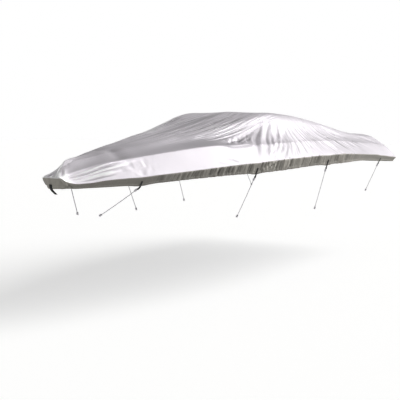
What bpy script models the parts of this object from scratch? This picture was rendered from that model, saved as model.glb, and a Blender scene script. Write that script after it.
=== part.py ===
"""A fitted boat cover as it hangs when it is on: one polyester sheet with its hem, tie loops and tie ropes.

Metres, +X to the bow, +Y to port, +Z up. The origin is on the inner face of the cloth, at the middle of
the crown, where the cover is held up. The cloth is a dome of meridians that rise from the hem to the ridge.
A place on it has two coordinates: the distance behind the bow along the side, and a level, which is
0 at the hem's edge, 1 at the rim fold, 2 at the shoulder, 3 at the hip line and 4 on the ridge.
"""

import math
from collections import namedtuple

import bmesh
import bpy
import numpy as np

LENGTH = 6.52
BOW_X = 3.306
HALF_BEAM = 1.25
STERN_HALF_BEAM = 1.196
CLOTH = 0.002
# The cloth is drawn in to the bow over the entry, which ends in a small square nose.
ENTRY_LENGTH = 4.5
ENTRY_FULLNESS = 1.8
ENTRY_SHARPNESS = 0.72
NOSE_HALF_WIDTH = 0.138
NOSE_LENGTH = 0.25
NOSE_ROUNDING = 0.006
NOSE_RAKE = 0.02
# Over these lengths the shape of the sides turns into that of the two ends.
BOW_TURN = 0.1
STERN_TURN = 0.3

# Webbing and rope stand this far off the cloth that they are sewn on or tied to.
GAP = 0.0005
WEBBING_WIDTH = 0.024
WEBBING_THICKNESS = 0.004
LOOP_DROP = 0.042
LOOP_BELOW_EDGE = 0.004
# How far the bow strap's turn and its tail lie behind and below its last stitch.
STRAP_TURN = (-0.012, -0.018)
STRAP_TAIL = (-0.150, -0.085)
ROPE_RADIUS = 0.004
ROPE_BOW = 0.004
ROPE_POINTS = 26
KNOT_RADIUS = 0.013
KNOT_HALF_LENGTH = 0.0176
KNOT_WAIST = 0.18

# One row for each section of the cover. Heights are above the origin, hem_depth is below the rim fold,
# shoulder_in and shoulder_up are measured from the rim fold, and sag is how far a panel sinks midway.
Section = namedtuple(
    "Section",
    "behind_bow rim_z hem_depth shoulder_in shoulder_up hip_x hip_y hip_z ridge_x ridge_z sag",
)
SECTIONS = (
    (0.00, -0.668, 0.100, 0.010, 0.040, 3.225, 0.000, -0.572, 3.185, -0.530, 0.000),
    (0.05, -0.688, 0.080, 0.030, 0.040, 3.200, 0.040, -0.548, 3.150, -0.518, 0.000),
    (0.12, -0.718, 0.050, 0.050, 0.055, 3.130, 0.055, -0.525, 3.080, -0.505, 0.002),
    (0.25, -0.720, 0.050, 0.080, 0.085, 3.010, 0.065, -0.500, 2.960, -0.484, 0.004),
    (0.40, -0.705, 0.064, 0.110, 0.118, 2.870, 0.085, -0.475, 2.830, -0.460, 0.006),
    (0.80, -0.681, 0.078, 0.150, 0.190, 2.490, 0.155, -0.415, 2.460, -0.403, 0.008),
    (1.20, -0.656, 0.085, 0.160, 0.212, 2.100, 0.240, -0.357, 2.080, -0.345, 0.010),
    (1.80, -0.618, 0.100, 0.160, 0.230, 1.510, 0.372, -0.263, 1.500, -0.250, 0.014),
    (2.10, -0.602, 0.110, 0.155, 0.203, 1.210, 0.436, -0.215, 1.200, -0.200, 0.024),
    (2.60, -0.581, 0.124, 0.150, 0.184, 0.708, 0.545, -0.108, 0.700, -0.105, 0.040),
    (3.00, -0.565, 0.127, 0.150, 0.178, 0.307, 0.635, -0.046, 0.300, -0.038, 0.036),
    (3.306, -0.557, 0.120, 0.150, 0.170, 0.000, 0.700, -0.005, 0.000, 0.005, 0.024),
    (3.70, -0.550, 0.120, 0.170, 0.165, -0.390, 0.715, -0.024, -0.360, -0.004, 0.026),
    (4.30, -0.552, 0.118, 0.200, 0.165, -0.980, 0.710, -0.078, -0.900, -0.062, 0.030),
    (5.00, -0.577, 0.090, 0.210, 0.165, -1.680, 0.705, -0.174, -1.500, -0.150, 0.032),
    (5.60, -0.608, 0.080, 0.200, 0.170, -2.270, 0.715, -0.262, -1.950, -0.228, 0.022),
    (6.10, -0.646, 0.065, 0.180, 0.180, -2.760, 0.745, -0.318, -2.250, -0.290, 0.010),
    (6.52, -0.676, 0.062, 0.100, 0.190, -3.100, 0.770, -0.325, -2.450, -0.305, 0.000),
)
# How the stern end is closed, and how far the hem is drawn in under the rim fold. The hem's tuck
# reaches its full depth where the cover is this half width.
STERN_RIDGE_X, STERN_RIDGE_Z = -2.850, -0.316
STERN_SHOULDER_IN = 0.030
HEM_TUCK = 0.045
HEM_TUCK_FULL = 0.3
CORNER_RADIUS = 0.09

# How wide the bend is at each level, as a share of the span on either side of it.
BEND = (0.0, 0.08, 0.10, 0.30, 0.50)
LEVELS = (0, 0.45, 0.9, 1, 1.12, 1.55, 1.9, 2, 2.12, 2.35, 2.6, 2.85, 3.1, 3.4, 3.7, 4)
LEVEL_HEIGHTS = (0.0, 0.10, 0.32, 0.82, 1.32)

# The main folds, each from one place on the cloth to another. A positive height stands proud.
Fold = namedtuple("Fold", "from_bow from_level to_bow to_level width height")
FOLDS = (
    (3.16, 2.80, 2.32, 0.95, 0.050, 0.022),
    (3.10, 2.70, 2.45, 0.95, 0.045, -0.020),
    (3.18, 2.60, 2.56, 0.95, 0.050, 0.020),
    (3.15, 2.50, 2.72, 1.00, 0.045, -0.015),
    (3.25, 2.50, 2.84, 1.05, 0.050, 0.014),
    (2.85, 2.75, 2.00, 2.18, 0.090, -0.042),
    (2.93, 2.70, 2.30, 1.98, 0.070, -0.030),
    (2.72, 2.60, 2.16, 2.10, 0.050, 0.024),
    (1.80, 2.80, 3.12, 3.50, 0.060, 0.010),
    (2.10, 2.40, 3.05, 2.92, 0.060, 0.012),
    (2.15, 2.80, 3.20, 3.30, 0.050, -0.008),
    (1.75, 3.75, 2.95, 3.80, 0.070, 0.009),
    (0.03, 1.60, 0.60, 2.00, 0.050, 0.012),
    (0.05, 1.25, 0.50, 1.70, 0.050, -0.010),
    (0.70, 3.80, 0.62, 2.10, 0.100, -0.020),
    (3.42, 2.60, 3.30, 1.10, 0.060, 0.014),
    (3.60, 2.60, 3.46, 1.00, 0.050, -0.012),
    (3.81, 2.85, 3.76, 1.90, 0.060, -0.014),
    (3.95, 2.70, 3.85, 1.00, 0.060, 0.014),
    (4.26, 2.50, 4.38, 1.00, 0.080, -0.014),
    (4.43, 2.78, 5.35, 2.45, 0.090, -0.020),
    (4.75, 2.50, 4.70, 1.05, 0.100, 0.010),
    (5.20, 2.30, 5.10, 1.10, 0.100, -0.010),
    (5.84, 2.80, 6.20, 2.10, 0.100, -0.018),
)
# The puckers that the cord in the hem draws up: two waves along the rim, in radians for each metre.
GATHER_DEPTH = 0.006
GATHER_FROM, GATHER_TO, GATHER_LEVEL = 1.2, 5.0, 1.6
GATHER_WAVES = (37.0, 23.3)

# The ties on each side: where they are, and where the rope's lower end lies from its upper knot.
Tie = namedtuple("Tie", "behind_bow rope_forward rope_inward rope_down")
TIES = (
    (0.77, 0.22, 0.28, 0.25),
    (2.33, 0.03, 0.20, 0.43),
    (3.82, 0.00, 0.14, 0.49),
    (5.75, 0.00, 0.17, 0.37),
)
TIES = tuple(Tie(*row) for row in TIES)
TIE_HALF_PITCH = 0.02
TIE_PULL = 0.014
TIE_PULL_WIDTH = 0.10
TIE_CALM_WIDTH = 0.05

SIDES = {"port": 1, "starboard": -1}


def column(name):
    return np.array([getattr(Section(*row), name) for row in SECTIONS])


def section_value(behind_bow, name):
    """A smooth curve through one column of SECTIONS, over the root of the distance behind the bow."""
    knots, values = np.sqrt(column("behind_bow")), column(name)
    steps = np.diff(knots)
    slopes = np.diff(values) / steps
    tangents = np.empty_like(values)
    tangents[0], tangents[-1] = slopes[0], slopes[-1]
    blend = (steps[1:] * slopes[:-1] + steps[:-1] * slopes[1:]) / (steps[1:] + steps[:-1])
    turning = slopes[:-1] * slopes[1:] <= 0
    tangents[1:-1] = np.where(turning, 0.3 * blend, blend)
    key = math.sqrt(min(max(behind_bow, 0.0), LENGTH))
    i = min(max(int(np.searchsorted(knots, key, side="right")) - 1, 0), len(knots) - 2)
    t = (key - knots[i]) / steps[i]
    start = (2 * t**3 - 3 * t**2 + 1) * values[i] + (t**3 - 2 * t**2 + t) * steps[i] * tangents[i]
    end = (3 * t**2 - 2 * t**3) * values[i + 1] + (t**3 - t**2) * steps[i] * tangents[i + 1]
    return start + end


def rim_half_width(behind_bow):
    """The plan of the rim fold: a small square nose, a full entry, then sides that draw in to the stern."""
    along = min(behind_bow / ENTRY_LENGTH, 1.0)
    entry = HALF_BEAM * (1 - (1 - along) ** ENTRY_FULLNESS) ** ENTRY_SHARPNESS
    nose = NOSE_HALF_WIDTH * math.exp(-behind_bow / NOSE_LENGTH)
    nose *= math.tanh(math.sqrt(behind_bow / NOSE_ROUNDING))
    past = max(behind_bow - ENTRY_LENGTH, 0.0) / (LENGTH - ENTRY_LENGTH)
    return entry + nose - (HALF_BEAM - STERN_HALF_BEAM) * past


def side_guides(behind_bow):
    """The five guide points of one meridian on the port side, from the hem's edge to the ridge."""
    x, y = BOW_X - behind_bow, rim_half_width(behind_bow)
    rim_z = section_value(behind_bow, "rim_z")
    near_bow = math.exp(-behind_bow / BOW_TURN)
    near_stern = min(max((behind_bow - LENGTH) / STERN_TURN + 1, 0.0), 1.0)
    hem = (
        x - NOSE_RAKE * near_bow + HEM_TUCK * near_stern,
        y - HEM_TUCK * min(y / HEM_TUCK_FULL, 1.0),
        rim_z - section_value(behind_bow, "hem_depth"),
    )
    shoulder = (
        x - 0.3 * NOSE_RAKE * near_bow + STERN_SHOULDER_IN * near_stern,
        max(y - section_value(behind_bow, "shoulder_in"), 0.0),
        rim_z + section_value(behind_bow, "shoulder_up"),
    )
    hip = tuple(section_value(behind_bow, name) for name in ("hip_x", "hip_y", "hip_z"))
    ridge = (section_value(behind_bow, "ridge_x"), 0.0, section_value(behind_bow, "ridge_z"))
    return np.array([hem, (x, y, rim_z), shoulder, hip, ridge])


def stern_guides(inward):
    """The same for a meridian on the stern end. inward is 0 at the port corner and 1 on the centreline."""
    guides = side_guides(LENGTH)
    guides[:4, 1] *= 1 - inward
    guides[4, 0] += (STERN_RIDGE_X - guides[4, 0]) * inward
    guides[4, 2] += (STERN_RIDGE_Z - guides[4, 2]) * inward
    return guides


def corner_guides():
    """The meridian in the middle of the rounded stern corner."""
    before = side_guides(LENGTH - CORNER_RADIUS)
    after = stern_guides(CORNER_RADIUS / STERN_HALF_BEAM)
    return 0.25 * before + 0.5 * side_guides(LENGTH) + 0.25 * after


def along_guides(guides, level):
    """The point at one level: straight spans between the guide points, with a round bend at each."""

    def straight(at):
        i = min(int(at), 3)
        return guides[i] + (guides[i + 1] - guides[i]) * (at - i)

    nearest = int(round(level))
    bend = BEND[nearest]
    if nearest == 0 or abs(level - nearest) >= bend:
        return straight(level)
    start = straight(nearest - bend)
    end = start * np.array([1, -1, 1]) if nearest == 4 else straight(nearest + bend)
    t = (level - nearest + bend) / (2 * bend)
    return (1 - t) ** 2 * start + 2 * t * (1 - t) * guides[nearest] + t**2 * end


def spaced(start, stop, pitch):
    count = round((stop - start) / pitch)
    return [start + (stop - start) * k / count for k in range(count)]


def meridians():
    """(distance along the rim, guide points) of each meridian, from the bow's middle to the stern's."""
    stops = [0, 0.006, 0.025, 0.06, 0.11, 0.18]
    stops += spaced(0.28, 2.0, 0.19) + spaced(2.0, 3.4, 0.07)
    stops += spaced(3.4, 4.6, 0.1) + spaced(4.6, LENGTH - CORNER_RADIUS, 0.2)
    for tie in TIES:
        stops = [stop for stop in stops if abs(stop - tie.behind_bow) > 1.5 * TIE_HALF_PITCH]
        stops += [tie.behind_bow - TIE_HALF_PITCH, tie.behind_bow + TIE_HALF_PITCH]
    found = [(stop, side_guides(stop)) for stop in sorted(stops)]
    found.append((LENGTH - CORNER_RADIUS, side_guides(LENGTH - CORNER_RADIUS)))
    found.append((LENGTH, corner_guides()))
    for inward in spaced(CORNER_RADIUS, STERN_HALF_BEAM, 0.18) + [STERN_HALF_BEAM]:
        found.append((LENGTH + inward, stern_guides(inward / STERN_HALF_BEAM)))
    return found


def fold_height(behind_bow, level, side):
    """How far the folds lift the cloth at one place. To starboard they lie a little elsewhere."""
    up = np.interp(level, range(5), LEVEL_HEIGHTS)
    total = 0.0
    for k, row in enumerate(FOLDS):
        fold = Fold(*row)
        shift = 0.0 if side > 0 else 0.10 * math.sin(2.4 * k)
        share = 1.0 if side > 0 else 0.85 + 0.25 * math.sin(1.7 * k)
        start = np.array([fold.from_bow + shift, np.interp(fold.from_level, range(5), LEVEL_HEIGHTS)])
        end = np.array([fold.to_bow + shift, np.interp(fold.to_level, range(5), LEVEL_HEIGHTS)])
        run, at = end - start, np.array([behind_bow, up]) - start
        part = min(max(float(at @ run) / float(run @ run), 0.0), 1.0)
        away = float(np.linalg.norm(at - part * run)) / fold.width
        fade = min(1.0, 0.25 + 3 * part, 0.25 + 3 * (1 - part))
        total += share * fold.height * fade * math.exp(-away * away)
    return total


def gather_height(behind_bow, level, side):
    """The puckers that the cord in the hem draws up. They are strongest amidships."""
    if level > GATHER_LEVEL or not GATHER_FROM < behind_bow < GATHER_TO:
        return 0.0
    middle = (GATHER_FROM + GATHER_TO) / 2
    strength = 1 - 1.6 * abs(behind_bow - middle) / (GATHER_TO - GATHER_FROM)
    short, long = GATHER_WAVES
    wave = math.sin(behind_bow * short + side) + 0.6 * math.sin(behind_bow * long + 2 * side)
    return GATHER_DEPTH * max(strength, 0.2) * wave * (1 - level / GATHER_LEVEL)


def sag_depth(behind_bow, level):
    if level <= 2 or behind_bow > LENGTH:
        return 0.0
    share = 1.0 if level < 3 else 0.4
    return share * section_value(behind_bow, "sag") * math.sin(math.pi * (level % 1.0))


def near_tie(behind_bow, width):
    """1 at a tie, falling to 0 some way off."""
    return max(math.exp(-(((behind_bow - tie.behind_bow) / width) ** 2)) for tie in TIES)


def tie_pull(behind_bow, level):
    """How far each tie draws the hem down."""
    return TIE_PULL * near_tie(behind_bow, TIE_PULL_WIDTH) * max(1 - level / 1.5, 0.0)


def material(name, colour, roughness):
    made = bpy.data.materials.new(name)
    made.use_nodes = True
    shader = made.node_tree.nodes["Principled BSDF"]
    shader.inputs["Base Color"].default_value = (*colour, 1)
    shader.inputs["Roughness"].default_value = roughness
    shader.inputs["Metallic"].default_value = 0
    return made


def mesh_object(name, mesh, made_of):
    piece = bpy.data.objects.new(name, mesh)
    bpy.context.collection.objects.link(piece)
    mesh.materials.append(made_of)
    return piece


def unit(vector):
    return vector / np.linalg.norm(vector)


def grid_normals(grid):
    """Outward normals of a grid of points, levels by meridians, on the port half."""
    up = np.gradient(grid, axis=0)
    along = np.gradient(grid, axis=1)
    normals = np.cross(along, up)
    size = np.linalg.norm(normals, axis=2, keepdims=True)
    return normals / np.maximum(size, 1e-9)


def half_cloth(side):
    """The outer face of one half of the cover: an array of points, levels by meridians."""
    found = meridians()
    grid = np.array([[along_guides(guides, level) for _, guides in found] for level in LEVELS])
    normals = grid_normals(grid)
    last = len(found) - 1
    for i, level in enumerate(LEVELS):
        for j, (behind_bow, _) in enumerate(found):
            lift = fold_height(behind_bow, level, side) + gather_height(behind_bow, level, side)
            if level < 1:
                lift *= 1 - near_tie(behind_bow, TIE_CALM_WIDTH)
            lift -= sag_depth(behind_bow, level)
            centre = min(behind_bow / BOW_TURN, 1.0) * min((last - j) / 2, 1.0)
            ridge = 1.0 if level < 3.9 else 0.5
            grid[i, j] += normals[i, j] * lift * centre * ridge
            grid[i, j, 2] -= tie_pull(behind_bow, level)
    grid[:, (0, last), 1] = 0.0
    grid[-1, :, 1] = 0.0
    grid[:, :, 1] *= side
    return grid


def build_cloth(halves, made_of):
    """The two halves meet on the ridge and on the bow and stern centrelines. Solidify gives the thickness."""
    port, starboard = halves["port"], halves["starboard"]
    ridge = (port[-1] + starboard[-1]) / 2
    last = port.shape[1] - 1
    shape = bmesh.new()
    top = [shape.verts.new(point) for point in ridge]
    rings = []
    for level in range(len(LEVELS) - 1):
        bow = (port[level, 0] + starboard[level, 0]) / 2
        stern = (port[level, last] + starboard[level, last]) / 2
        points = [bow, *port[level, 1:last], stern, *starboard[level, last - 1 : 0 : -1]]
        rings.append([shape.verts.new(point) for point in points])
    count = len(rings[0])
    rings.append([top[j] if j <= last else top[count - j] for j in range(count)])
    for lower, upper in zip(rings, rings[1:]):
        for j in range(count):
            k = (j + 1) % count
            shape.faces.new((lower[j], lower[k], upper[k], upper[j]))
    bmesh.ops.recalc_face_normals(shape, faces=shape.faces)
    mesh = bpy.data.meshes.new("cover_cloth")
    shape.to_mesh(mesh)
    shape.free()
    mesh.shade_smooth()
    cloth = mesh_object("cover_cloth", mesh, made_of)
    wall = cloth.modifiers.new("cloth thickness", "SOLIDIFY")
    wall.thickness = CLOTH
    wall.offset = -1
    wall.use_even_offset = True
    return cloth


def strap(name, path, across, outward, made_of):
    """Webbing swept along a path: a flat bar with its width across and its thickness outward."""
    shape = bmesh.new()
    rings = []
    for point, wide, thick in zip(path, across, outward):
        wide, thick = wide * WEBBING_WIDTH / 2, thick * WEBBING_THICKNESS / 2
        corners = (point - wide - thick, point + wide - thick, point + wide + thick, point - wide + thick)
        rings.append([shape.verts.new(corner) for corner in corners])
    for lower, upper in zip(rings, rings[1:]):
        for k in range(4):
            shape.faces.new((lower[k], lower[(k + 1) % 4], upper[(k + 1) % 4], upper[k]))
    shape.faces.new(rings[0])
    shape.faces.new(rings[-1])
    bmesh.ops.recalc_face_normals(shape, faces=shape.faces)
    mesh = bpy.data.meshes.new(name)
    shape.to_mesh(mesh)
    shape.free()
    return mesh_object(name, mesh, made_of)


def knot(name, centre, direction, made_of):
    """A pulled-down knot: an egg-shaped lump with a waist, along the rope."""
    shape = bmesh.new()
    bmesh.ops.create_uvsphere(shape, u_segments=10, v_segments=7, radius=KNOT_RADIUS)
    axis = unit(direction)
    side = unit(np.cross(axis, (0.0, 0.0, 1.0) if abs(axis[2]) < 0.9 else (1.0, 0.0, 0.0)))
    other = np.cross(axis, side)
    for vert in shape.verts:
        x, y, z = vert.co
        waist = 1 - KNOT_WAIST * math.exp(-((3 * z / KNOT_RADIUS) ** 2))
        along = z * KNOT_HALF_LENGTH / KNOT_RADIUS
        vert.co = centre + side * x * waist + other * y * waist + axis * along
    mesh = bpy.data.meshes.new(name)
    shape.to_mesh(mesh)
    shape.free()
    mesh.shade_smooth()
    return mesh_object(name, mesh, made_of)


def rope(name, start, end, made_of):
    """A taut rope, with a slight even sag between its ends."""
    curve = bpy.data.curves.new(name, "CURVE")
    curve.dimensions = "3D"
    curve.bevel_depth = ROPE_RADIUS
    curve.bevel_resolution = 2
    curve.use_fill_caps = True
    spline = curve.splines.new("POLY")
    spline.points.add(ROPE_POINTS - 1)
    for k in range(ROPE_POINTS):
        t = k / (ROPE_POINTS - 1)
        point = start + (end - start) * t - np.array([0, 0, ROPE_BOW]) * 4 * t * (1 - t)
        spline.points[k].co = (*point, 1)
    curve.materials.append(made_of)
    piece = bpy.data.objects.new(name, curve)
    bpy.context.collection.objects.link(piece)
    return piece


def build_ties(side_name, grid, webbing, cord):
    """On one side, for each tie: the webbing loop sewn on the hem, and the rope knotted into it."""
    side = SIDES[side_name]
    stops = [stop for stop, _ in meridians()]
    for number, tie in enumerate(TIES, start=1):
        j = int(np.argmin(np.abs(np.array(stops) - (tie.behind_bow - TIE_HALF_PITCH))))
        edge = (grid[0, j] + grid[0, j + 1]) / 2
        middle = (grid[1, j] + grid[1, j + 1]) / 2
        fold = (grid[2, j] + grid[2, j + 1]) / 2
        across = unit(grid[1, j + 1] - grid[1, j])
        out_low = unit(np.cross(across, middle - edge)) * side
        out_high = unit(np.cross(across, fold - middle)) * side
        out = unit(out_low + out_high)
        run = np.array([tie.rope_forward, -side * tie.rope_inward, -tie.rope_down])
        pull = unit(run)
        stand = WEBBING_THICKNESS / 2 + GAP
        below = unit(edge - middle)
        hang = unit(below + pull)
        clear = edge + out_low * stand + below * LOOP_BELOW_EDGE
        path = [middle + (fold - middle) * 0.35 + out_high * stand, middle + out * stand, clear]
        path += [clear + hang * LOOP_DROP * 0.5, clear + hang * LOOP_DROP * 0.5 + pull * LOOP_DROP * 0.5]
        across_end = unit(across - pull * float(across @ pull))
        out_end = np.cross(across_end, -pull) * side
        outward = [out_high, out, out_low, unit(out_low + out_end), out_end]
        wide = [across, across, across, unit(across + across_end), across_end]
        tag = f"{side_name}_{number}"
        strap(f"tie_loop_{tag}", path, wide, outward, webbing)
        top = path[-1] + pull * (GAP + KNOT_HALF_LENGTH)
        knot(f"tie_knot_{tag}", top, pull, cord)
        start = top + pull * (GAP + KNOT_HALF_LENGTH)
        end = start + run - 2 * pull * KNOT_HALF_LENGTH
        rope(f"tie_rope_{tag}", start, end, cord)
        last = end + pull * (GAP + KNOT_HALF_LENGTH)
        knot(f"rope_end_knot_{tag}", last, pull, cord)


def build_bow_strap(grid, webbing):
    """The doubled webbing tail at the bow, sewn to the nose of the hem and drawn back underneath."""
    edge, middle = grid[0, 0], grid[1, 0]
    across = np.array([0.0, 1.0, 0.0])
    below = unit(edge - middle)
    out = np.cross(across, -below)
    stand = out * (WEBBING_THICKNESS / 2 + GAP)
    low = edge + stand + below * LOOP_BELOW_EDGE
    turn = low + np.array([STRAP_TURN[0], 0, STRAP_TURN[1]])
    tail = turn + np.array([STRAP_TAIL[0], 0, STRAP_TAIL[1]])
    under = np.cross(across, unit(turn - tail))
    path = [middle + stand, low, turn, tail]
    strap("bow_strap", path, [across] * 4, [out, unit(out + under), under, under], webbing)


for old in list(bpy.data.objects):
    bpy.data.objects.remove(old, do_unlink=True)

silver_cloth = material("silver polyester", (0.56, 0.54, 0.58), 0.55)
black_webbing = material("black webbing", (0.02, 0.02, 0.022), 0.75)
pale_rope = material("pale braided rope", (0.66, 0.62, 0.70), 0.7)

halves = {name: half_cloth(side) for name, side in SIDES.items()}
build_cloth(halves, silver_cloth)
build_bow_strap(halves["port"], black_webbing)
for side_name in SIDES:
    build_ties(side_name, halves[side_name], black_webbing, pale_rope)
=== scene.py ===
"""A fitted boat cover of silver polyester as it hangs when it is on, seen from the port bow.

Metres, +X to the bow, +Y to port, +Z up, with the origin on the inner face of the cloth under the crown.
A place on the cloth has two coordinates: the distance behind the bow along the side, and a level, which is
0 at the hem's edge, 1 at the rim fold, 2 at the shoulder, 3 at the hip line and 4 on the ridge.
"""

import math

import bpy
import numpy as np
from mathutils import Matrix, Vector


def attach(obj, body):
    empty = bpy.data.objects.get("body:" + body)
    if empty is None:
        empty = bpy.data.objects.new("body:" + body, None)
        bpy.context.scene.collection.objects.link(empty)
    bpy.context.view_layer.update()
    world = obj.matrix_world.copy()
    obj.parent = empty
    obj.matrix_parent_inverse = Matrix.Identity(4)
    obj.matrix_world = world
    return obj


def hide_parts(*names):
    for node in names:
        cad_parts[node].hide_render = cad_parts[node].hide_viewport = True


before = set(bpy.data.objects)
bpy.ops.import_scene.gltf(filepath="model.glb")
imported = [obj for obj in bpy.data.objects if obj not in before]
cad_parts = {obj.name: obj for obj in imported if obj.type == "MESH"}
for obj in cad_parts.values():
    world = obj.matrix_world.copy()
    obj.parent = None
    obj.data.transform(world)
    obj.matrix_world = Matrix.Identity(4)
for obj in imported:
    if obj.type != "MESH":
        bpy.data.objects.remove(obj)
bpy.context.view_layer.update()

# The view: a long lens off the port bow, a little above the rim and below the crown.
CAMERA_PLACE = (9.0834, 5.3347, -0.1283)
CAMERA_HEADING, CAMERA_TILT = 212.3593, -5.5235
CAMERA_LENS, CAMERA_SENSOR = 72.56, 36.0

camera_data = bpy.data.cameras.new("camera")
camera_data.lens = CAMERA_LENS
camera_data.sensor_width = CAMERA_SENSOR
camera_data.clip_end = 200
camera = bpy.data.objects.new("camera", camera_data)
bpy.context.scene.collection.objects.link(camera)
heading, tilt = math.radians(CAMERA_HEADING), math.radians(CAMERA_TILT)
looking = Vector(
    (math.cos(heading) * math.cos(tilt), math.sin(heading) * math.cos(tilt), math.sin(tilt))
)
camera.location = CAMERA_PLACE
camera.rotation_euler = looking.to_track_quat("-Z", "Y").to_euler()
bpy.context.scene.camera = camera

# The cloth: silver polyester sewn to shape and stretched over what it covers. It runs from the rim fold over
# the shoulder and the hip line to the ridge, in one piece, and is thin, so that every pull in it shows.
LENGTH = 6.52
BOW_X = 3.306
HALF_BEAM, STERN_HALF_BEAM = 1.25, 1.196
ENTRY_LENGTH, ENTRY_FULLNESS, ENTRY_SHARPNESS = 4.5, 1.8, 0.72
ENTRY_SWELL, SWELL_LENGTH = 0.0058, 0.3
NOSE_HALF_WIDTH, NOSE_LENGTH, NOSE_ROUNDING = 0.090, 0.12, 0.006
NOSE_FORWARD, NOSE_RAKE, SHOULDER_RAKE = 0.045, 0.02, 0.006
BOW_TURN, STERN_TURN = 0.1, 0.3
STERN_RIDGE_X, STERN_RIDGE_Z = -2.850, -0.302
STERN_SHOULDER_IN = 0.030
CORNER_RADIUS = 0.09
END_PLACE = LENGTH + STERN_HALF_BEAM
HEM_TUCK, HEM_TUCK_FULL = 0.045, 0.3
# At the nose's corners the hem is drawn back and in, and the cloth above it bulges.
HEM_CORNER_IN, HEM_CORNER_PLACE, HEM_CORNER_LENGTH, HEM_CORNER_FADE = (-0.022, -0.034), 0.04, 0.05, 0.1
HEM_BULGE, HEM_BULGE_PLACE, HEM_BULGE_START = 1.0, 0.07, 0.02
# How wide the bend is at the rim, shoulder, hip line and ridge, at these distances behind the bow.
BEND_PLACES = (0.0, 0.3, 0.6, 2.0, 2.6, 4.0, 6.5)
BENDS = {
    1: (0.10, 0.08, 0.07, 0.07, 0.08, 0.08, 0.08),
    2: (0.12, 0.06, 0.05, 0.05, 0.13, 0.28, 0.42),
    3: (0.30,) * 7,
    4: (0.50,) * 7,
}
LEVEL_HEIGHTS = (0.0, 0.10, 0.32, 0.82, 1.32)
TIE_PLACES = (0.77, 2.33, 3.82, 5.75)
TIE_PULL, TIE_PULL_WIDTH, TIE_PULL_LEVEL = 0.014, 0.10, 1.5

# One row for each section of the cover. Heights are above the origin, hem_depth is below the rim fold,
# shoulder_in and shoulder_up are measured from the rim fold, and sag is how far a panel sinks midway.
SECTION_COLUMNS = (
    "behind_bow rim_z hem_depth shoulder_in shoulder_up hip_x hip_y hip_z ridge_x ridge_z sag"
).split()
SECTIONS = np.array(
    (
        (0.00, -0.662, 0.106, 0.014, 0.010, 3.235, 0.000, -0.598, 3.160, -0.520, 0.000),
        (0.02, -0.666, 0.102, 0.020, 0.014, 3.230, 0.012, -0.596, 3.135, -0.503, 0.000),
        (0.05, -0.690, 0.078, 0.036, 0.046, 3.205, 0.025, -0.582, 3.112, -0.485, 0.000),
        (0.12, -0.722, 0.046, 0.055, 0.092, 3.130, 0.045, -0.544, 3.075, -0.476, 0.002),
        (0.25, -0.724, 0.046, 0.075, 0.130, 3.010, 0.055, -0.502, 2.960, -0.464, 0.004),
        (0.40, -0.705, 0.064, 0.100, 0.149, 2.870, 0.078, -0.480, 2.830, -0.450, 0.006),
        (0.80, -0.681, 0.078, 0.150, 0.190, 2.490, 0.155, -0.415, 2.460, -0.403, 0.008),
        (1.20, -0.656, 0.085, 0.160, 0.212, 2.100, 0.240, -0.357, 2.080, -0.345, 0.010),
        (1.80, -0.618, 0.100, 0.160, 0.230, 1.510, 0.372, -0.276, 1.500, -0.247, 0.008),
        (2.10, -0.602, 0.110, 0.155, 0.210, 1.210, 0.436, -0.238, 1.200, -0.196, 0.012),
        (2.60, -0.581, 0.124, 0.150, 0.190, 0.708, 0.545, -0.138, 0.700, -0.099, 0.030),
        (3.00, -0.565, 0.127, 0.150, 0.178, 0.307, 0.635, -0.046, 0.300, -0.038, 0.036),
        (3.306, -0.557, 0.120, 0.150, 0.170, 0.000, 0.700, -0.005, 0.000, 0.005, 0.024),
        (3.70, -0.550, 0.120, 0.170, 0.165, -0.390, 0.715, -0.024, -0.360, -0.004, 0.026),
        (4.30, -0.552, 0.118, 0.200, 0.165, -0.980, 0.710, -0.078, -0.900, -0.062, 0.030),
        (5.00, -0.577, 0.090, 0.210, 0.165, -1.680, 0.705, -0.174, -1.500, -0.150, 0.032),
        (5.60, -0.608, 0.080, 0.200, 0.170, -2.270, 0.715, -0.262, -1.950, -0.228, 0.022),
        (6.10, -0.646, 0.065, 0.180, 0.180, -2.760, 0.745, -0.308, -2.250, -0.284, 0.010),
        (6.52, -0.676, 0.062, 0.100, 0.125, -3.100, 0.770, -0.309, -2.450, -0.293, 0.000),
    )
)
# How much slope a column keeps where it turns back, and how much of its sag a panel has above the hip line.
FLATTER_TURN, UPPER_SAG_SHARE = 0.3, 0.4


def bell(at, middle, width):
    """1 at the middle, falling away smoothly on both sides of it."""
    return np.exp(-(((at - middle) / width) ** 2))


def ramp(at, start, full):
    """0 up to start and rising evenly to 1 at full, which may lie on either side of start."""
    return np.clip((at - start) / (full - start), 0, 1)


def section_value(behind_bow, name):
    """A smooth curve through one column of SECTIONS, over the root of the distance behind the bow."""
    knots, values = np.sqrt(SECTIONS[:, 0]), SECTIONS[:, SECTION_COLUMNS.index(name)]
    steps = np.diff(knots)
    slopes = np.diff(values) / steps
    tangents = np.empty_like(values)
    tangents[0], tangents[-1] = slopes[0], slopes[-1]
    blend = (steps[1:] * slopes[:-1] + steps[:-1] * slopes[1:]) / (steps[1:] + steps[:-1])
    tangents[1:-1] = np.where(slopes[:-1] * slopes[1:] <= 0, FLATTER_TURN * blend, blend)
    key = np.sqrt(np.clip(behind_bow, 0.0, LENGTH))
    i = np.clip(np.searchsorted(knots, key, side="right") - 1, 0, len(knots) - 2)
    t = (key - knots[i]) / steps[i]
    start = (2 * t**3 - 3 * t**2 + 1) * values[i] + (t**3 - 2 * t**2 + t) * steps[i] * tangents[i]
    end = (3 * t**2 - 2 * t**3) * values[i + 1] + (t**3 - t**2) * steps[i] * tangents[i + 1]
    return start + end


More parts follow.
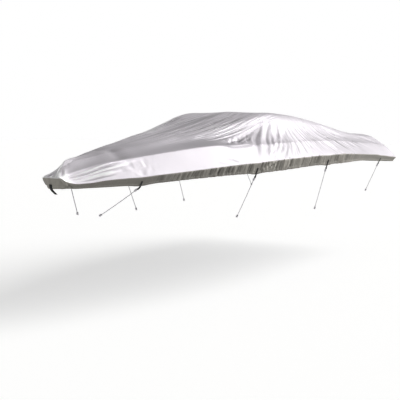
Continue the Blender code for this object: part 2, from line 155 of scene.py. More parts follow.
def rim_half_width(behind_bow):
    """The plan of the rim fold: a small square nose, a full entry, then sides that draw in to the stern."""
    along = np.minimum(behind_bow / ENTRY_LENGTH, 1.0)
    entry = HALF_BEAM * (1 - (1 - along) ** ENTRY_FULLNESS) ** ENTRY_SHARPNESS
    nose = NOSE_HALF_WIDTH * np.exp(-behind_bow / NOSE_LENGTH)
    nose = nose * np.tanh(np.sqrt(behind_bow / NOSE_ROUNDING))
    past = np.maximum(behind_bow - ENTRY_LENGTH, 0.0) / (LENGTH - ENTRY_LENGTH)
    swell = ENTRY_SWELL * bell(behind_bow, TIE_PLACES[0], SWELL_LENGTH)
    return entry + nose + swell - (HALF_BEAM - STERN_HALF_BEAM) * past


def side_guides(behind_bow):
    """The five guide points of each meridian on the port side, from the hem's edge to the ridge."""
    near_bow, near_stern = np.exp(-behind_bow / BOW_TURN), ramp(behind_bow, LENGTH - STERN_TURN, LENGTH)
    x, y = BOW_X - behind_bow + NOSE_FORWARD * near_bow, rim_half_width(behind_bow)
    rim_z = section_value(behind_bow, "rim_z")
    guides = np.zeros((len(behind_bow), 5, 3))
    guides[:, 0, 0] = x - NOSE_RAKE * near_bow + HEM_TUCK * near_stern
    guides[:, 0, 1] = y - HEM_TUCK * np.minimum(y / HEM_TUCK_FULL, 1.0)
    guides[:, 0, 2] = rim_z - section_value(behind_bow, "hem_depth")
    corner = bell(behind_bow, HEM_CORNER_PLACE, HEM_CORNER_LENGTH) * np.minimum(y / HEM_CORNER_FADE, 1.0)
    guides[:, 0, :2] += corner[:, None] * HEM_CORNER_IN
    guides[:, 1] = np.stack([x, y, rim_z], axis=1)
    guides[:, 2, 0] = x - SHOULDER_RAKE * near_bow + STERN_SHOULDER_IN * near_stern
    guides[:, 2, 1] = np.maximum(y - section_value(behind_bow, "shoulder_in"), 0.0)
    guides[:, 2, 2] = rim_z + section_value(behind_bow, "shoulder_up")
    for axis, name in enumerate(("hip_x", "hip_y", "hip_z")):
        guides[:, 3, axis] = section_value(behind_bow, name)
    guides[:, 4, 0] = section_value(behind_bow, "ridge_x")
    guides[:, 4, 2] = section_value(behind_bow, "ridge_z")
    return guides


def stern_guides(inward):
    """The same for meridians on the stern end. inward is 0 at the port corner and 1 on the centreline."""
    guides = np.repeat(side_guides(np.array([LENGTH])), len(inward), axis=0)
    guides[:, :4, 1] *= 1 - inward[:, None]
    guides[:, 4, 0] += (STERN_RIDGE_X - guides[:, 4, 0]) * inward
    guides[:, 4, 2] += (STERN_RIDGE_Z - guides[:, 4, 2]) * inward
    return guides


def meridians(places):
    """Guide points at places along the rim, from the bow's middle round the stern corner to the stern's."""
    aside = side_guides(np.minimum(places, LENGTH))
    astern = stern_guides(ramp(places, LENGTH, END_PLACE))
    guides = np.where((places < LENGTH)[:, None, None], aside, astern)
    before = side_guides(np.array([LENGTH - CORNER_RADIUS]))
    corner = side_guides(np.array([LENGTH]))
    after = stern_guides(np.array([CORNER_RADIUS / STERN_HALF_BEAM]))
    t = (places - LENGTH + CORNER_RADIUS) / (2 * CORNER_RADIUS)
    turned = np.clip(t, 0, 1)[:, None, None]
    rounded = (1 - turned) ** 2 * before + 2 * turned * (1 - turned) * corner + turned**2 * after
    return np.where(((t > 0) & (t < 1))[:, None, None], rounded, guides)


def level_points(guides, places, level):
    """The points at one level: straight spans between the guide points, with a round bend at each."""

    def straight(at):
        at = np.broadcast_to(at, places.shape)
        i = np.minimum(at.astype(int), 3)
        rows = np.arange(len(places))
        span = guides[rows, i + 1] - guides[rows, i]
        points = guides[rows, i] + span * (at - i)[:, None]
        corner = bell(places, HEM_BULGE_PLACE, HEM_BULGE_PLACE) * np.minimum(places / HEM_BULGE_START, 1.0)
        round_out = np.where(i == 0, HEM_BULGE * at * (1 - at) * corner, 0.0)[:, None]
        return points + span * (1, 1, 0) * round_out

    points = straight(level)
    for corner, widths in BENDS.items():
        width = np.interp(places, BEND_PLACES, widths)
        start = straight(corner - width)
        end = start * (1, -1, 1) if corner == 4 else straight(corner + width)
        t = ((level - corner + width) / (2 * width))[:, None]
        bent = (1 - t) ** 2 * start + 2 * t * (1 - t) * guides[:, corner] + t**2 * end
        points = np.where((t > 0) & (t < 1), bent, points)
    return points


def tie_pull(places, level):
    """How far each tie draws the hem down."""
    near = np.max([bell(places, tie, TIE_PULL_WIDTH) for tie in TIE_PLACES], axis=0)
    return TIE_PULL * near * ramp(level, TIE_PULL_LEVEL, 0)


def sag_depth(places, level):
    """How far the cloth sinks between the shoulder, the hip line and the ridge."""
    share = np.where(level < 3, 1.0, UPPER_SAG_SHARE) * (level > 2) * (places <= LENGTH)
    return share * section_value(places, "sag") * np.sin(math.pi * (level % 1.0))


# The folds, each along places on the cloth, as (distance behind the bow, level). Width and height are in
# metres, and a positive height stands proud.
FOLDS = (
    # The sheaf that hangs from the crown's front corner.
    (((2.94, 2.73), (2.62, 2.30), (2.50, 2.02), (2.43, 1.62), (2.33, 1.10)), 0.026, -0.0080),
    (((3.11, 2.78), (2.94, 2.53), (2.79, 2.25), (2.69, 2.00), (2.63, 1.70), (2.49, 1.08)), 0.017, -0.0075),
    (((3.08, 2.86), (2.83, 2.52), (2.66, 2.20), (2.57, 2.00), (2.52, 1.70), (2.41, 1.10)), 0.036, 0.0090),
    (((3.22, 2.78), (3.12, 2.48), (3.01, 2.16)), 0.018, -0.0050),
    (((3.16, 2.86), (3.03, 2.50), (2.91, 2.20), (2.80, 1.90), (2.68, 1.50)), 0.026, 0.0055),
    (((2.95, 2.35), (2.81, 2.08), (2.73, 1.65), (2.58, 1.05)), 0.013, -0.0055),
    (((2.94, 1.95), (2.89, 1.50), (2.79, 1.00)), 0.013, -0.0050),
    (((3.10, 2.10), (3.07, 1.75), (2.98, 1.05)), 0.013, -0.0045),
    (((3.25, 1.95), (3.16, 1.25)), 0.011, -0.0040),
    (((3.32, 1.75), (3.24, 1.10)), 0.010, -0.0040),
    (((3.36, 2.60), (3.42, 2.12), (3.42, 1.88), (3.31, 1.10)), 0.012, -0.0045),
    (((3.62, 2.20), (3.57, 1.95), (3.52, 1.50), (3.46, 1.05)), 0.012, -0.0050),
    # The pocket that sags between the crown and the shoulder.
    (((2.94, 2.80), (2.66, 2.60), (2.36, 2.36), (2.10, 2.20), (1.90, 2.10)), 0.070, -0.0150),
    (((1.90, 2.10), (2.04, 1.97), (2.22, 1.95), (2.44, 2.02)), 0.020, -0.0080),
    (((2.06, 2.33), (2.36, 2.50), (2.66, 2.68), (2.94, 2.80)), 0.020, 0.0070),
    (((2.10, 2.20), (2.32, 2.25), (2.50, 2.42), (2.66, 2.55)), 0.017, 0.0065),
    (((2.30, 2.38), (2.36, 2.24), (2.30, 2.13), (2.18, 2.08)), 0.014, -0.0065),
    (((2.46, 2.30), (2.38, 2.16), (2.26, 2.14)), 0.012, 0.0060),
    (((2.20, 2.34), (2.32, 2.40), (2.44, 2.36)), 0.011, -0.0050),
    # Long pulls on the slope before the crown.
    (((1.60, 3.60), (2.38, 3.66), (2.63, 3.68), (3.07, 3.73), (3.27, 3.55)), 0.013, 0.0042),
    (((1.55, 2.98), (1.86, 3.05), (2.13, 3.12), (2.58, 3.25), (3.05, 3.43)), 0.013, 0.0048),
    (((1.89, 2.70), (2.32, 2.90), (2.80, 3.12), (3.15, 3.25)), 0.013, 0.0045),
    (((2.01, 2.35), (2.40, 2.60), (2.81, 2.73), (3.06, 2.83)), 0.015, 0.0060),
    # The fan behind the nose, its one deep pleat, and the kink across the foredeck.
    (((0.02, 1.68), (0.30, 1.86), (0.62, 2.02)), 0.016, 0.0060),
    (((0.04, 1.50), (0.26, 1.70), (0.56, 1.90)), 0.012, -0.0050),
    (((0.04, 1.28), (0.26, 1.52), (0.50, 1.72)), 0.013, -0.0055),
    (((0.05, 1.40), (0.28, 1.60), (0.54, 1.80)), 0.013, 0.0050),
    (((0.06, 1.16), (0.22, 1.30), (0.42, 1.44)), 0.012, -0.0045),
    (((0.007, 1.20), (0.025, 0.85), (0.055, 0.50), (0.105, 0.05)), 0.009, 0.0110),
    (((0.020, 1.10), (0.045, 0.85), (0.080, 0.50), (0.125, 0.10)), 0.008, -0.0070),
    (((0.78, 3.90), (0.72, 3.00), (0.68, 1.90)), 0.080, -0.0110),
    (((0.68, 3.90), (0.63, 3.00), (0.60, 2.10)), 0.060, 0.0060),
    # The long pleat that runs up beside the second tie, and small pulls over the first.
    (((2.39, 0.15), (2.51, 0.58), (2.63, 0.97)), 0.013, 0.0090),
    (((2.43, 0.12), (2.56, 0.55), (2.67, 0.95)), 0.009, -0.0060),
    (((0.71, 1.93), (0.70, 1.70), (0.71, 1.46)), 0.014, -0.0040),
    (((0.77, 1.62), (0.79, 1.28), (0.80, 1.02)), 0.012, -0.0045),
    (((0.66, 1.60), (0.71, 1.30), (0.75, 1.02)), 0.012, 0.0040),
    (((0.90, 1.60), (0.85, 1.30), (0.80, 1.02)), 0.012, 0.0035),
    # The aft side: long pulls that fan out from the crown.
    (((3.45, 2.90), (3.44, 2.60), (3.43, 2.20)), 0.016, -0.0040),
    (((3.82, 2.95), (3.77, 2.50), (3.79, 2.20)), 0.014, -0.0050),
    (((4.09, 3.10), (3.88, 2.62), (3.82, 2.23), (3.77, 1.70), (3.73, 1.10)), 0.014, -0.0055),
    (((4.00, 3.00), (3.84, 2.64), (3.76, 2.20)), 0.014, 0.0040),
    (((4.45, 3.00), (4.36, 2.50), (4.28, 2.00), (4.20, 1.30), (4.12, 1.05)), 0.020, -0.0055),
    (((4.28, 2.90), (4.22, 2.40), (4.10, 1.70), (4.03, 1.10)), 0.016, -0.0040),
    (((4.43, 2.80), (4.68, 2.58), (4.95, 2.50), (5.35, 2.45)), 0.026, -0.0070),
    (((4.50, 2.90), (4.80, 2.72), (5.20, 2.62)), 0.026, 0.0050),
    (((4.75, 2.50), (4.74, 1.80), (4.70, 1.05)), 0.060, 0.0060),
    (((5.24, 2.30), (5.24, 2.10), (5.23, 1.90)), 0.018, -0.0050),
    (((5.20, 2.30), (5.14, 1.70), (5.10, 1.10)), 0.070, -0.0060),
    (((5.84, 2.80), (6.04, 2.45), (6.20, 2.10)), 0.060, -0.0100),
    (((5.60, 2.75), (5.80, 2.30), (5.95, 1.60)), 0.040, 0.0060),
)

# Sheaves of fine pulls: the first and last line of each, as pairs of places, then how many pulls lie
# between them, their width and height, and a seed.
PULLS = (
    ((1.20, 3.80), (3.15, 3.86), (1.75, 2.40), (3.10, 2.90), 44, 0.0080, 0.0040, 3),
    ((3.20, 2.75), (2.34, 1.00), (3.45, 2.70), (3.40, 1.00), 18, 0.0110, -0.0030, 5),
    ((3.50, 2.85), (3.45, 1.00), (4.20, 2.95), (4.80, 1.10), 30, 0.0110, -0.0034, 8),
    ((4.10, 2.95), (4.60, 1.10), (4.70, 2.95), (5.70, 1.60), 16, 0.0120, -0.0034, 13),
    ((0.02, 1.10), (0.60, 1.30), (0.02, 1.75), (0.95, 2.10), 18, 0.0100, 0.0036, 21),
    ((0.60, 2.00), (0.62, 1.05), (0.92, 2.00), (0.95, 1.05), 9, 0.0095, 0.0022, 34),
    ((2.00, 2.05), (2.30, 2.75), (2.45, 2.05), (2.75, 2.65), 9, 0.0110, 0.0035, 55),
    ((1.60, 1.35), (1.90, 1.02), (2.30, 1.50), (2.36, 1.02), 9, 0.0090, 0.0018, 89),
    ((0.005, 1.15), (0.100, 0.02), (0.018, 1.15), (0.130, 0.02), 4, 0.0050, 0.0110, 90),
    ((2.62, 0.99), (2.39, 0.10), (2.70, 0.99), (2.43, 0.10), 4, 0.0080, 0.0110, 91),
)

# A fold's crest fades out at its ends, and a faint hollow runs on either side of it, in widths of the fold.
FOLD_REACH = 4
HOLLOW_DEPTH, HOLLOW_AWAY, HOLLOW_WIDTH = 0.22, 2.1, 0.8
FOLD_STARTS, FOLD_ENDS, FOLD_FADE, FOLD_SHARPNESS = 0.15, 0.05, 4, 1.6
# To starboard the folds lie a little elsewhere and are a little lower or higher.
FOLD_SHIFT, SHIFT_STEP = 0.08, 2.4
FOLD_SHARE, SHARE_RANGE, SHARE_STEP = 0.85, 0.25, 1.7
# The crumpled cloth in the pocket, and slow waves all over. A grain is how many waves go to a metre.
POCKET_PLACE, POCKET_LEVEL, POCKET_LENGTH, POCKET_RISE = 2.33, 2.32, 0.22, 0.20
CRUMPLE_HEIGHT, CRUMPLE_GRAIN, CRUMPLE_SEED = 0.0032, (16, 22), 4
WAVE_HEIGHT, WAVE_GRAIN, WAVE_SEED = 0.0030, (2.3, 3.1), 9
# The ranges in which the pulls of a sheaf differ from each other.
PULL_STARTS, PULL_ENDS, PULL_WANDER = (0.0, 0.4), (0.6, 1.0), 0.012
PULL_HEIGHTS, PULL_WIDTHS, HOLLOW_PULL = (0.5, 1.3), (0.8, 1.5), -0.7
STARBOARD_SEEDS = 50


def soft_noise(x, y, seed, cells=64):
    """Smooth noise from -1 to 1 on a grid of unit cells."""
    lattice = np.random.default_rng(seed).uniform(-1, 1, (cells, cells))
    i, j = np.floor(x).astype(int), np.floor(y).astype(int)
    u, v = x - i, y - j
    u, v = u * u * (3 - 2 * u), v * v * (3 - 2 * v)
    i, j, next_i, next_j = i % cells, j % cells, (i + 1) % cells, (j + 1) % cells
    low = lattice[i, j] * (1 - u) + lattice[next_i, j] * u
    high = lattice[i, next_j] * (1 - u) + lattice[next_i, next_j] * u
    return low * (1 - v) + high * v


def add_line(relief, behind, up, line, width, height):
    """Adds one fold along a line of (behind, up) points."""
    reach = FOLD_REACH * width
    near = (behind > line[:, 0].min() - reach) & (behind < line[:, 0].max() + reach)
    near &= (up > line[:, 1].min() - reach) & (up < line[:, 1].max() + reach)
    if not near.any():
        return
    at = np.stack([behind[near], up[near]], axis=1)
    total = np.linalg.norm(np.diff(line, axis=0), axis=1).sum()
    away, part, passed = np.full(len(at), np.inf), np.zeros(len(at)), 0.0
    for start, end in zip(line, line[1:]):
        run = end - start
        size = float(np.linalg.norm(run))
        share = np.clip((at - start) @ run / size**2, 0, 1)
        gap = np.linalg.norm(at - start - share[:, None] * run, axis=1)
        closer = gap < away
        away = np.where(closer, gap, away)
        part = np.where(closer, (passed + share * size) / total, part)
        passed += size
    away /= width
    fade = np.minimum(FOLD_STARTS + FOLD_FADE * part, FOLD_ENDS + FOLD_FADE * (1 - part))
    fade = np.clip(fade, 0, 1)
    fade = fade * fade * (3 - 2 * fade)
    crest = np.exp(-(away**FOLD_SHARPNESS)) - HOLLOW_DEPTH * bell(away, HOLLOW_AWAY, HOLLOW_WIDTH)
    relief[near] += height * fade * crest


def corners_cut(line):
    """The same line with its corners cut three times over."""
    for _ in range(3):
        cut = np.stack([line[:-1] * 0.75 + line[1:] * 0.25, line[:-1] * 0.25 + line[1:] * 0.75], axis=1)
        line = np.vstack([line[:1], cut.reshape(-1, line.shape[1])[1:-1], line[-1:]])
    return line


def smooth_line(places):
    """A smooth line through (behind, level) places, as (behind, up) points."""
    line = np.array([(behind, np.interp(level, range(5), LEVEL_HEIGHTS)) for behind, level in places])
    return corners_cut(line) if len(line) > 2 else line


def fold_relief(behind, level, side):
    """How far the folds lift the cloth at each place."""
    up = np.interp(level, range(5), LEVEL_HEIGHTS)
    relief = np.zeros(behind.shape)
    for k, (places, width, height) in enumerate(FOLDS):
        shift, share = 0.0, 1.0
        if side < 0:
            shift = FOLD_SHIFT * math.sin(SHIFT_STEP * k) * min(places[0][0], 1.0)
            share = FOLD_SHARE + SHARE_RANGE * math.sin(SHARE_STEP * k)
        add_line(relief, behind, up, smooth_line(places) + (shift, 0), width, share * height)
    grain = behind * CRUMPLE_GRAIN[0] + 3, up * CRUMPLE_GRAIN[1]
    crumple = bell(behind, POCKET_PLACE, POCKET_LENGTH) * bell(level, POCKET_LEVEL, POCKET_RISE)
    relief += CRUMPLE_HEIGHT * crumple * soft_noise(*grain, CRUMPLE_SEED + side)
    grain = behind * WAVE_GRAIN[0], up * WAVE_GRAIN[1]
    return relief + WAVE_HEIGHT * soft_noise(*grain, WAVE_SEED + side)


def pull_relief(behind, level, side):
    """The same for the sheaves of fine pulls."""
    up = np.interp(level, range(5), LEVEL_HEIGHTS)
    relief = np.zeros(behind.shape)
    for start_a, end_a, start_b, end_b, count, width, height, seed in PULLS:
        chance = np.random.default_rng(seed + (0 if side > 0 else STARBOARD_SEEDS))
        for k in range(count):
            across = (k + chance.uniform(0.1, 0.9)) / count
            first = np.array(start_a) * (1 - across) + np.array(start_b) * across
            last = np.array(end_a) * (1 - across) + np.array(end_b) * across
            early, late = chance.uniform(*PULL_STARTS), chance.uniform(*PULL_ENDS)
            start, end = first + (last - first) * early, first + (last - first) * late
            middle = (start + end) / 2 + chance.normal(0, PULL_WANDER, 2)
            size = height * chance.uniform(*PULL_HEIGHTS) * chance.choice((HOLLOW_PULL, 1))
            line = smooth_line((start, middle, end))
            add_line(relief, behind, up, line, width * chance.uniform(*PULL_WIDTHS), size)
    return relief


# The pleats that the drawn-up hem makes: where they run, and the ranges of their pitch, width and height (as
# a share of the width), how far they lean, and the levels at which they end. Abaft the second tie some run
# on up the side.
PLEATS_FROM, PLEATS_TO, PLEATS_SEED = 0.92, 5.0, 70
PLEAT_PITCHES, PLEAT_WIDTHS, PLEAT_HEIGHTS, PLEAT_LEAN = (0.012, 0.040), (0.0055, 0.0130), (0.7, 1.5), 0.012
PLEAT_TOPS, PLEAT_FEET, PLEAT_REACH = (0.90, 0.98), (-0.1, 0.25), 0.07
HIGHER_TOPS = (2.1, 2.6), (0.0, 0.35)
# They grow from the first tie on and fade out astern, and are few and low there.
PLEATS_START, PLEATS_GROW, PLEATS_FADE = 0.7, 0.8, 0.7
FEWEST_PLEATS, LOWEST_PLEATS = 0.35, 0.3
# The level above which none shows, how each fades round its top and its foot, what is left of it above the
# rim fold, how much wider it is at the hem's edge, and how sharp.
PLEAT_LIMIT, TOP_FADE, FOOT_FADE, FOOT_SHARE = 1.8, (0.12, 0.18), 0.2, 0.25
UPPER_SHARE, PLEAT_WIDENING, PLEAT_SHARPNESS = 0.55, 0.5, 1.5
HEM_CALM = 0.04


def away_from_ties(places):
    """1 away from the sewn loops and almost 0 under them, where the hem lies flat."""
    return np.min([np.clip(np.abs(places - tie) / HEM_CALM - 0.5, 0.1, 1) for tie in TIE_PLACES], axis=0)


def pleats(places, level, side):
    """How far the pleats lift the cloth. Each runs down over the rim fold, leans and widens a little."""
    chance = np.random.default_rng(PLEATS_SEED + side)
    relief = np.zeros(places.shape)
    at = PLEATS_FROM
    while at < PLEATS_TO:
        at += chance.uniform(*PLEAT_PITCHES)
        strength = min((at - PLEATS_START) / PLEATS_GROW, 1.0, (PLEATS_TO - at) / PLEATS_FADE)
        if chance.uniform() > FEWEST_PLEATS + (1 - FEWEST_PLEATS) * strength:
            continue
        lean, width = chance.normal(0, PLEAT_LEAN), chance.uniform(*PLEAT_WIDTHS)
        height = chance.uniform(*PLEAT_HEIGHTS) * chance.choice((-1, 1)) * width
        height *= LOWEST_PLEATS + (1 - LOWEST_PLEATS) * strength
        top = chance.uniform(*PLEAT_TOPS) + np.interp(at, *HIGHER_TOPS) * chance.uniform()
        foot = chance.uniform(*PLEAT_FEET)
        near = (np.abs(places - at) < PLEAT_REACH) & (level < PLEAT_LIMIT)
        x, rise = places[near] - at - lean * (1 - level[near]), level[near]
        spread = width * (1 + PLEAT_WIDENING * (1 - rise))
        window = ramp(rise, top + TOP_FADE[0], top - TOP_FADE[1])
        window *= np.clip((rise - foot) / FOOT_FADE, FOOT_SHARE, 1) * np.where(rise < 1, 1.0, UPPER_SHARE)
        relief[near] += height * window * np.exp(-(np.abs(x / spread) ** PLEAT_SHARPNESS))
    return relief * away_from_ties(places)


# The short ripples where the cloth turns over the nose, in two sizes. They fade out up the ridge.
RIPPLE_HEIGHT, RIPPLE_LENGTH, RIPPLE_TOP = 0.0058, 0.085, (3.4, 2.6)
FINE_SHARE, HEM_RIPPLE_SHARE = 0.5, 0.6
COARSE_RIPPLES, FINE_RIPPLES = (46, 0.9, 83), (95, 1.6, 87)


def nose_ripples(places, level, side):
    """How far the ripples lift the cloth. They run on across the bow's middle."""
    across = rim_half_width(places) * side
    coarse, fine = (
        soft_noise(across * grain + 9, level * rise, seed)
        for grain, rise, seed in (COARSE_RIPPLES, FINE_RIPPLES)
    )
    window = np.where(level > 1, ramp(level, *RIPPLE_TOP), HEM_RIPPLE_SHARE)
    return RIPPLE_HEIGHT * (coarse + FINE_SHARE * fine) * window * bell(places, 0, RIPPLE_LENGTH)


# Crests get painted light and hollows get painted shade: how high a pull has to be to count fully, and how
# much long folds and high pleats do.
CREST_HEIGHT, LONG_FOLD_SHARE, HIGH_PLEAT_SHARE = 0.008, 0.1, 0.25
RIDGE_BLEND_LEVEL, END_CALM = 3.4, 0.3


def cloth_half(places, levels, side, insets, extra=None):
    """One half as grids of levels by places, one for each inset, and how high its folds stand at each place,
    which the material turns into painted light on crests and painted shade in hollows.

    extra adds more relief to the folds.
    """
    guides = meridians(places)
    grid = np.array([level_points(guides, places, level) for level in levels])
    up_step, along_step = np.gradient(grid, axis=0), np.gradient(grid, axis=1)
    normals = np.cross(along_step, up_step)
    normals /= np.maximum(np.linalg.norm(normals, axis=2, keepdims=True), 1e-9)
    behind, level = np.meshgrid(places, levels)
    folds, pulls = fold_relief(behind, level, side), pull_relief(behind, level, side)
    meeting = ramp(level, RIDGE_BLEND_LEVEL, 4) / 2
    if meeting.any():
        folds = folds * (1 - meeting) + fold_relief(behind, level, -side) * meeting
        pulls = pulls * (1 - meeting) + pull_relief(behind, level, -side) * meeting
    gathers = pleats(behind, level, side)
    fine = pulls + nose_ripples(behind, level, side)
    # Painted light on crests and painted shade in hollows, from the fine pulls, the hem pleats and a share of
    # the long folds.
    painted_fold_light = fine + np.where(level < 1, 1.0, HIGH_PLEAT_SHARE) * gathers + LONG_FOLD_SHARE * folds
    lift = fine + gathers + folds - sag_depth(behind, level)
    if extra is not None:
        lift = lift + extra(behind, level, side)
    lift *= ramp(behind, END_PLACE, END_PLACE - END_CALM)
    layers = []
    for inset in insets:
        layer = grid + normals * (lift - inset)[:, :, None]
        layer[:, :, 2] -= tie_pull(behind, level)
        layer[:, (0, -1), 1] = 0.0
        if levels[-1] == 4:
            layer[-1, :, 1] = 0.0
        layer[:, :, 1] *= side
        layers.append(layer)
    return layers, painted_fold_light / CREST_HEIGHT


def stepped(*stretches):
    """Places along the rim: closely across the nose, then each stretch from its start at its pitch."""
    found = [stretches[0][0] * np.linspace(0, 1, 14, endpoint=False) ** 2]
    found += [np.arange(round((end - start) / pitch)) * pitch + start for start, end, pitch in stretches]
    return np.append(np.concatenate(found), stretches[-1][1])


cloth_places = stepped(
    (0.014, 0.10, 0.006),
    (0.10, 0.30, 0.012),
    (0.30, 1.20, 0.024),
    (1.20, 1.95, 0.020),
    (1.95, 3.45, 0.012),
    (3.45, 4.90, 0.016),
    (4.90, 6.40, 0.030),
    (6.40, 6.64, 0.012),
    (6.64, END_PLACE, 0.045),
)
cloth_levels = np.concatenate(
    [
        np.linspace(1.02, 1.30, 9),
        np.linspace(1.35, 1.90, 12),
        np.linspace(1.93, 2.10, 8),
        np.linspace(2.13, 3.00, 43),
        np.linspace(3.03, 4.00, 39),
    ]
)
STARBOARD_UV = 9.0


def grid_mesh(name, halves, painted_light, places, heights, shared_top=False, wrapped=False):
    """Joins two halves on the bow and stern centrelines, and on the ridge if shared_top.

    UVs are in metres, and painted_light, the painted light and shade of the folds, goes into the mesh as the
    attribute crest.
    """
    port, starboard = halves
    rows, columns = port.shape[:2]
    left = np.arange(rows * columns).reshape(rows, columns)
    right = left + rows * columns
    points = np.concatenate([port.reshape(-1, 3), starboard.reshape(-1, 3)])
    meeting = [np.s_[:, 0], np.s_[:, -1]] + ([np.s_[-1, :]] if shared_top else [])
    for edge in meeting:
        points[left[edge]] = (port[edge] + starboard[edge]) / 2
        right[edge] = left[edge]
    uvs = np.stack(np.meshgrid(places, heights), axis=2)
    if wrapped:
        left, right = np.vstack([left, left[:1]]), np.vstack([right, right[:1]])
        uvs = np.concatenate([uvs, uvs[-1:] + (0, 0.003)])
    turns = (
        (left, ((0, 0), (0, 1), (1, 1), (1, 0)), 0.0),
        (right, ((0, 1), (0, 0), (1, 0), (1, 1)), STARBOARD_UV),
    )
    faces, corners = [], []
    for ids, turn, shift in turns:
        rows_of, columns_of = ids.shape[0] - 1, ids.shape[1] - 1
        at = [np.s_[i : i + rows_of, j : j + columns_of] for i, j in turn]
        faces.append(np.stack([ids[cell] for cell in at], axis=2).reshape(-1, 4))
        corners.append(np.stack([uvs[cell] for cell in at], axis=2).reshape(-1, 2) + (shift, 0))
    used, faces = np.unique(np.concatenate(faces), return_inverse=True)
    mesh = bpy.data.meshes.new(name)
    mesh.from_pydata(points[used].tolist(), [], faces.reshape(-1, 4).tolist())
    layer = mesh.uv_layers.new(name="UVMap")
    layer.data.foreach_set("uv", np.concatenate(corners).astype(np.float32).ravel())
    crest = mesh.attributes.new("crest", "FLOAT", "POINT")
    crest.data.foreach_set("value", np.concatenate(painted_light).ravel()[used].astype(np.float32))
    mesh.shade_smooth()
    return mesh


# How far the cloth lies outside its guide points, and where painted light and painted shade are added to what
# its folds paint: a painted highlight on the flank behind the nose and on the nose itself, a little painted
# light abaft the crown, and painted shade on the slope before the crown, up to the line where the crown's
# folds start.
CLOTH_OUT = 0.0008
FLANK_PAINTED_SHEEN, FLANK_SHEEN_LENGTH, FLANK_SHEEN_TOP = 0.47, 0.75, (2.2, 2.05)
AFT_PAINTED_SHEEN, SLOPE_PAINTED_SHADE = 0.09, 0.17
NOSE_PAINTED_SHEENS = (0.0, 0.04, 0.12, 2.9, 3.5), (0.6, 0.45, 0.0, 0.0, AFT_PAINTED_SHEEN)
SHADE_START, SHADE_ENDS = (1.3, 1.9), ((2.0, 2.8, 3.6), (2.05, 2.85, 3.20))
SHADE_FADE, SHADE_FOOT = 0.3, (2.0, 2.08)

(port_cloth,), port_painted_light = cloth_half(cloth_places, cloth_levels, 1, (-CLOTH_OUT,))
(starboard_cloth,), starboard_painted_light = cloth_half(cloth_places, cloth_levels, -1, (-CLOTH_OUT,))
# Painted highlight on the flank behind the nose, on the nose and abaft the crown, and painted shade on the
# slope before the crown.
painted_sheen = FLANK_PAINTED_SHEEN * ramp(cloth_levels, *FLANK_SHEEN_TOP)[:, None] * bell(cloth_places, 0, FLANK_SHEEN_LENGTH)
painted_sheen += np.interp(cloth_places, *NOSE_PAINTED_SHEENS)
shade_end = np.interp(cloth_levels, *SHADE_ENDS)[:, None]
painted_shade_area = ramp(cloth_places, shade_end, shade_end - SHADE_FADE) * ramp(cloth_places, *SHADE_START)
painted_sheen -= SLOPE_PAINTED_SHADE * painted_shade_area * ramp(cloth_levels, *SHADE_FOOT)[:, None]
cloth_mesh = grid_mesh(
    "cover_top",
    (port_cloth, starboard_cloth),
    (port_painted_light + painted_sheen, starboard_painted_light + painted_sheen),
    cloth_places,
    np.interp(cloth_levels, range(5), LEVEL_HEIGHTS),
    shared_top=True,
)


def placed(name, mesh, material):
    """A finished piece at the origin, riding on the cover."""
    piece = bpy.data.objects.new(name, mesh)
    bpy.context.scene.collection.objects.link(piece)
    mesh.materials.append(material)
    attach(piece, "root")
    return piece


def new_material(name, roughness, colour=(1, 1, 1, 1)):
    """A material of one roughness and colour, and its shader."""
    made = bpy.data.materials.new(name)
    made.use_nodes = True
    shader = made.node_tree.nodes["Principled BSDF"]
    shader.inputs["Roughness"].default_value = roughness
    shader.inputs["Base Color"].default_value = colour
    return made, shader


def join(tree, *pairs):
    """Links sockets, from the first of each pair to the second."""
    for start, end in pairs:
        tree.links.new(start, end)


def node_group(name, inputs, outputs):
    """An empty shader group with number or vector inputs, and its two end nodes."""
    tree = bpy.data.node_groups.new(name, "ShaderNodeTree")
    for label, kind in inputs:
        tree.interface.new_socket(label, in_out="INPUT", socket_type=kind)
    for label, kind in outputs:
        tree.interface.new_socket(label, in_out="OUTPUT", socket_type=kind)
    return tree, tree.nodes.new("NodeGroupInput"), tree.nodes.new("NodeGroupOutput")


def math_node(tree, operation, *values):
    """A Math node. Each value is a number or the socket that feeds it. Returns the result's socket."""
    made = tree.nodes.new("ShaderNodeMath")
    made.operation = operation
    for socket, value in zip(made.inputs, values):
        if isinstance(value, (int, float)):
            socket.default_value = value
        else:
            tree.links.new(value, socket)
    return made.outputs["Value"]


def product(tree, first, *others):
    """The product of two or more sockets or numbers."""
    for other in others:
        first = math_node(tree, "MULTIPLY", first, other)
    return first


def ramp_node(tree, value, low, high):
    """A smooth step from 0 at low to 1 at high."""
    made = tree.nodes.new("ShaderNodeMapRange")
    made.interpolation_type = "SMOOTHSTEP"
    made.inputs["From Min"].default_value = low
    made.inputs["From Max"].default_value = high
    tree.links.new(value, made.inputs["Value"])
    return made.outputs["Result"]


def colour_mix(tree, blend="MIX"):
    """A Mix node for colours."""
    made = tree.nodes.new("ShaderNodeMix")
    made.data_type = "RGBA"
    made.blend_type = blend
    return made


def group_node(tree, group, **values):
    """A shader group, fed with the place on the piece and its own values."""
    made = tree.nodes.new("ShaderNodeGroup")
    made.node_tree = group
    tree.links.new(uv_node(tree).outputs["UV"], made.inputs["Place"])
    for label, value in values.items():
        made.inputs[label].default_value = value
    return made


def uv_node(tree):
    """The place on the piece, as its UVs give it."""
    place = tree.nodes.new("ShaderNodeUVMap")
    place.uv_map = "UVMap"
    return place


def bump_node(tree, height, distance, onto, strength=1.0):
    """A Bump node that feeds the socket onto."""
    made = tree.nodes.new("ShaderNodeBump")
    made.inputs["Distance"].default_value = distance
    made.inputs["Strength"].default_value = strength
    tree.links.new(height, made.inputs["Height"])
    tree.links.new(made.outputs["Normal"], onto)
    return made


NUMBER, VECTOR = "NodeSocketFloat", "NodeSocketVector"

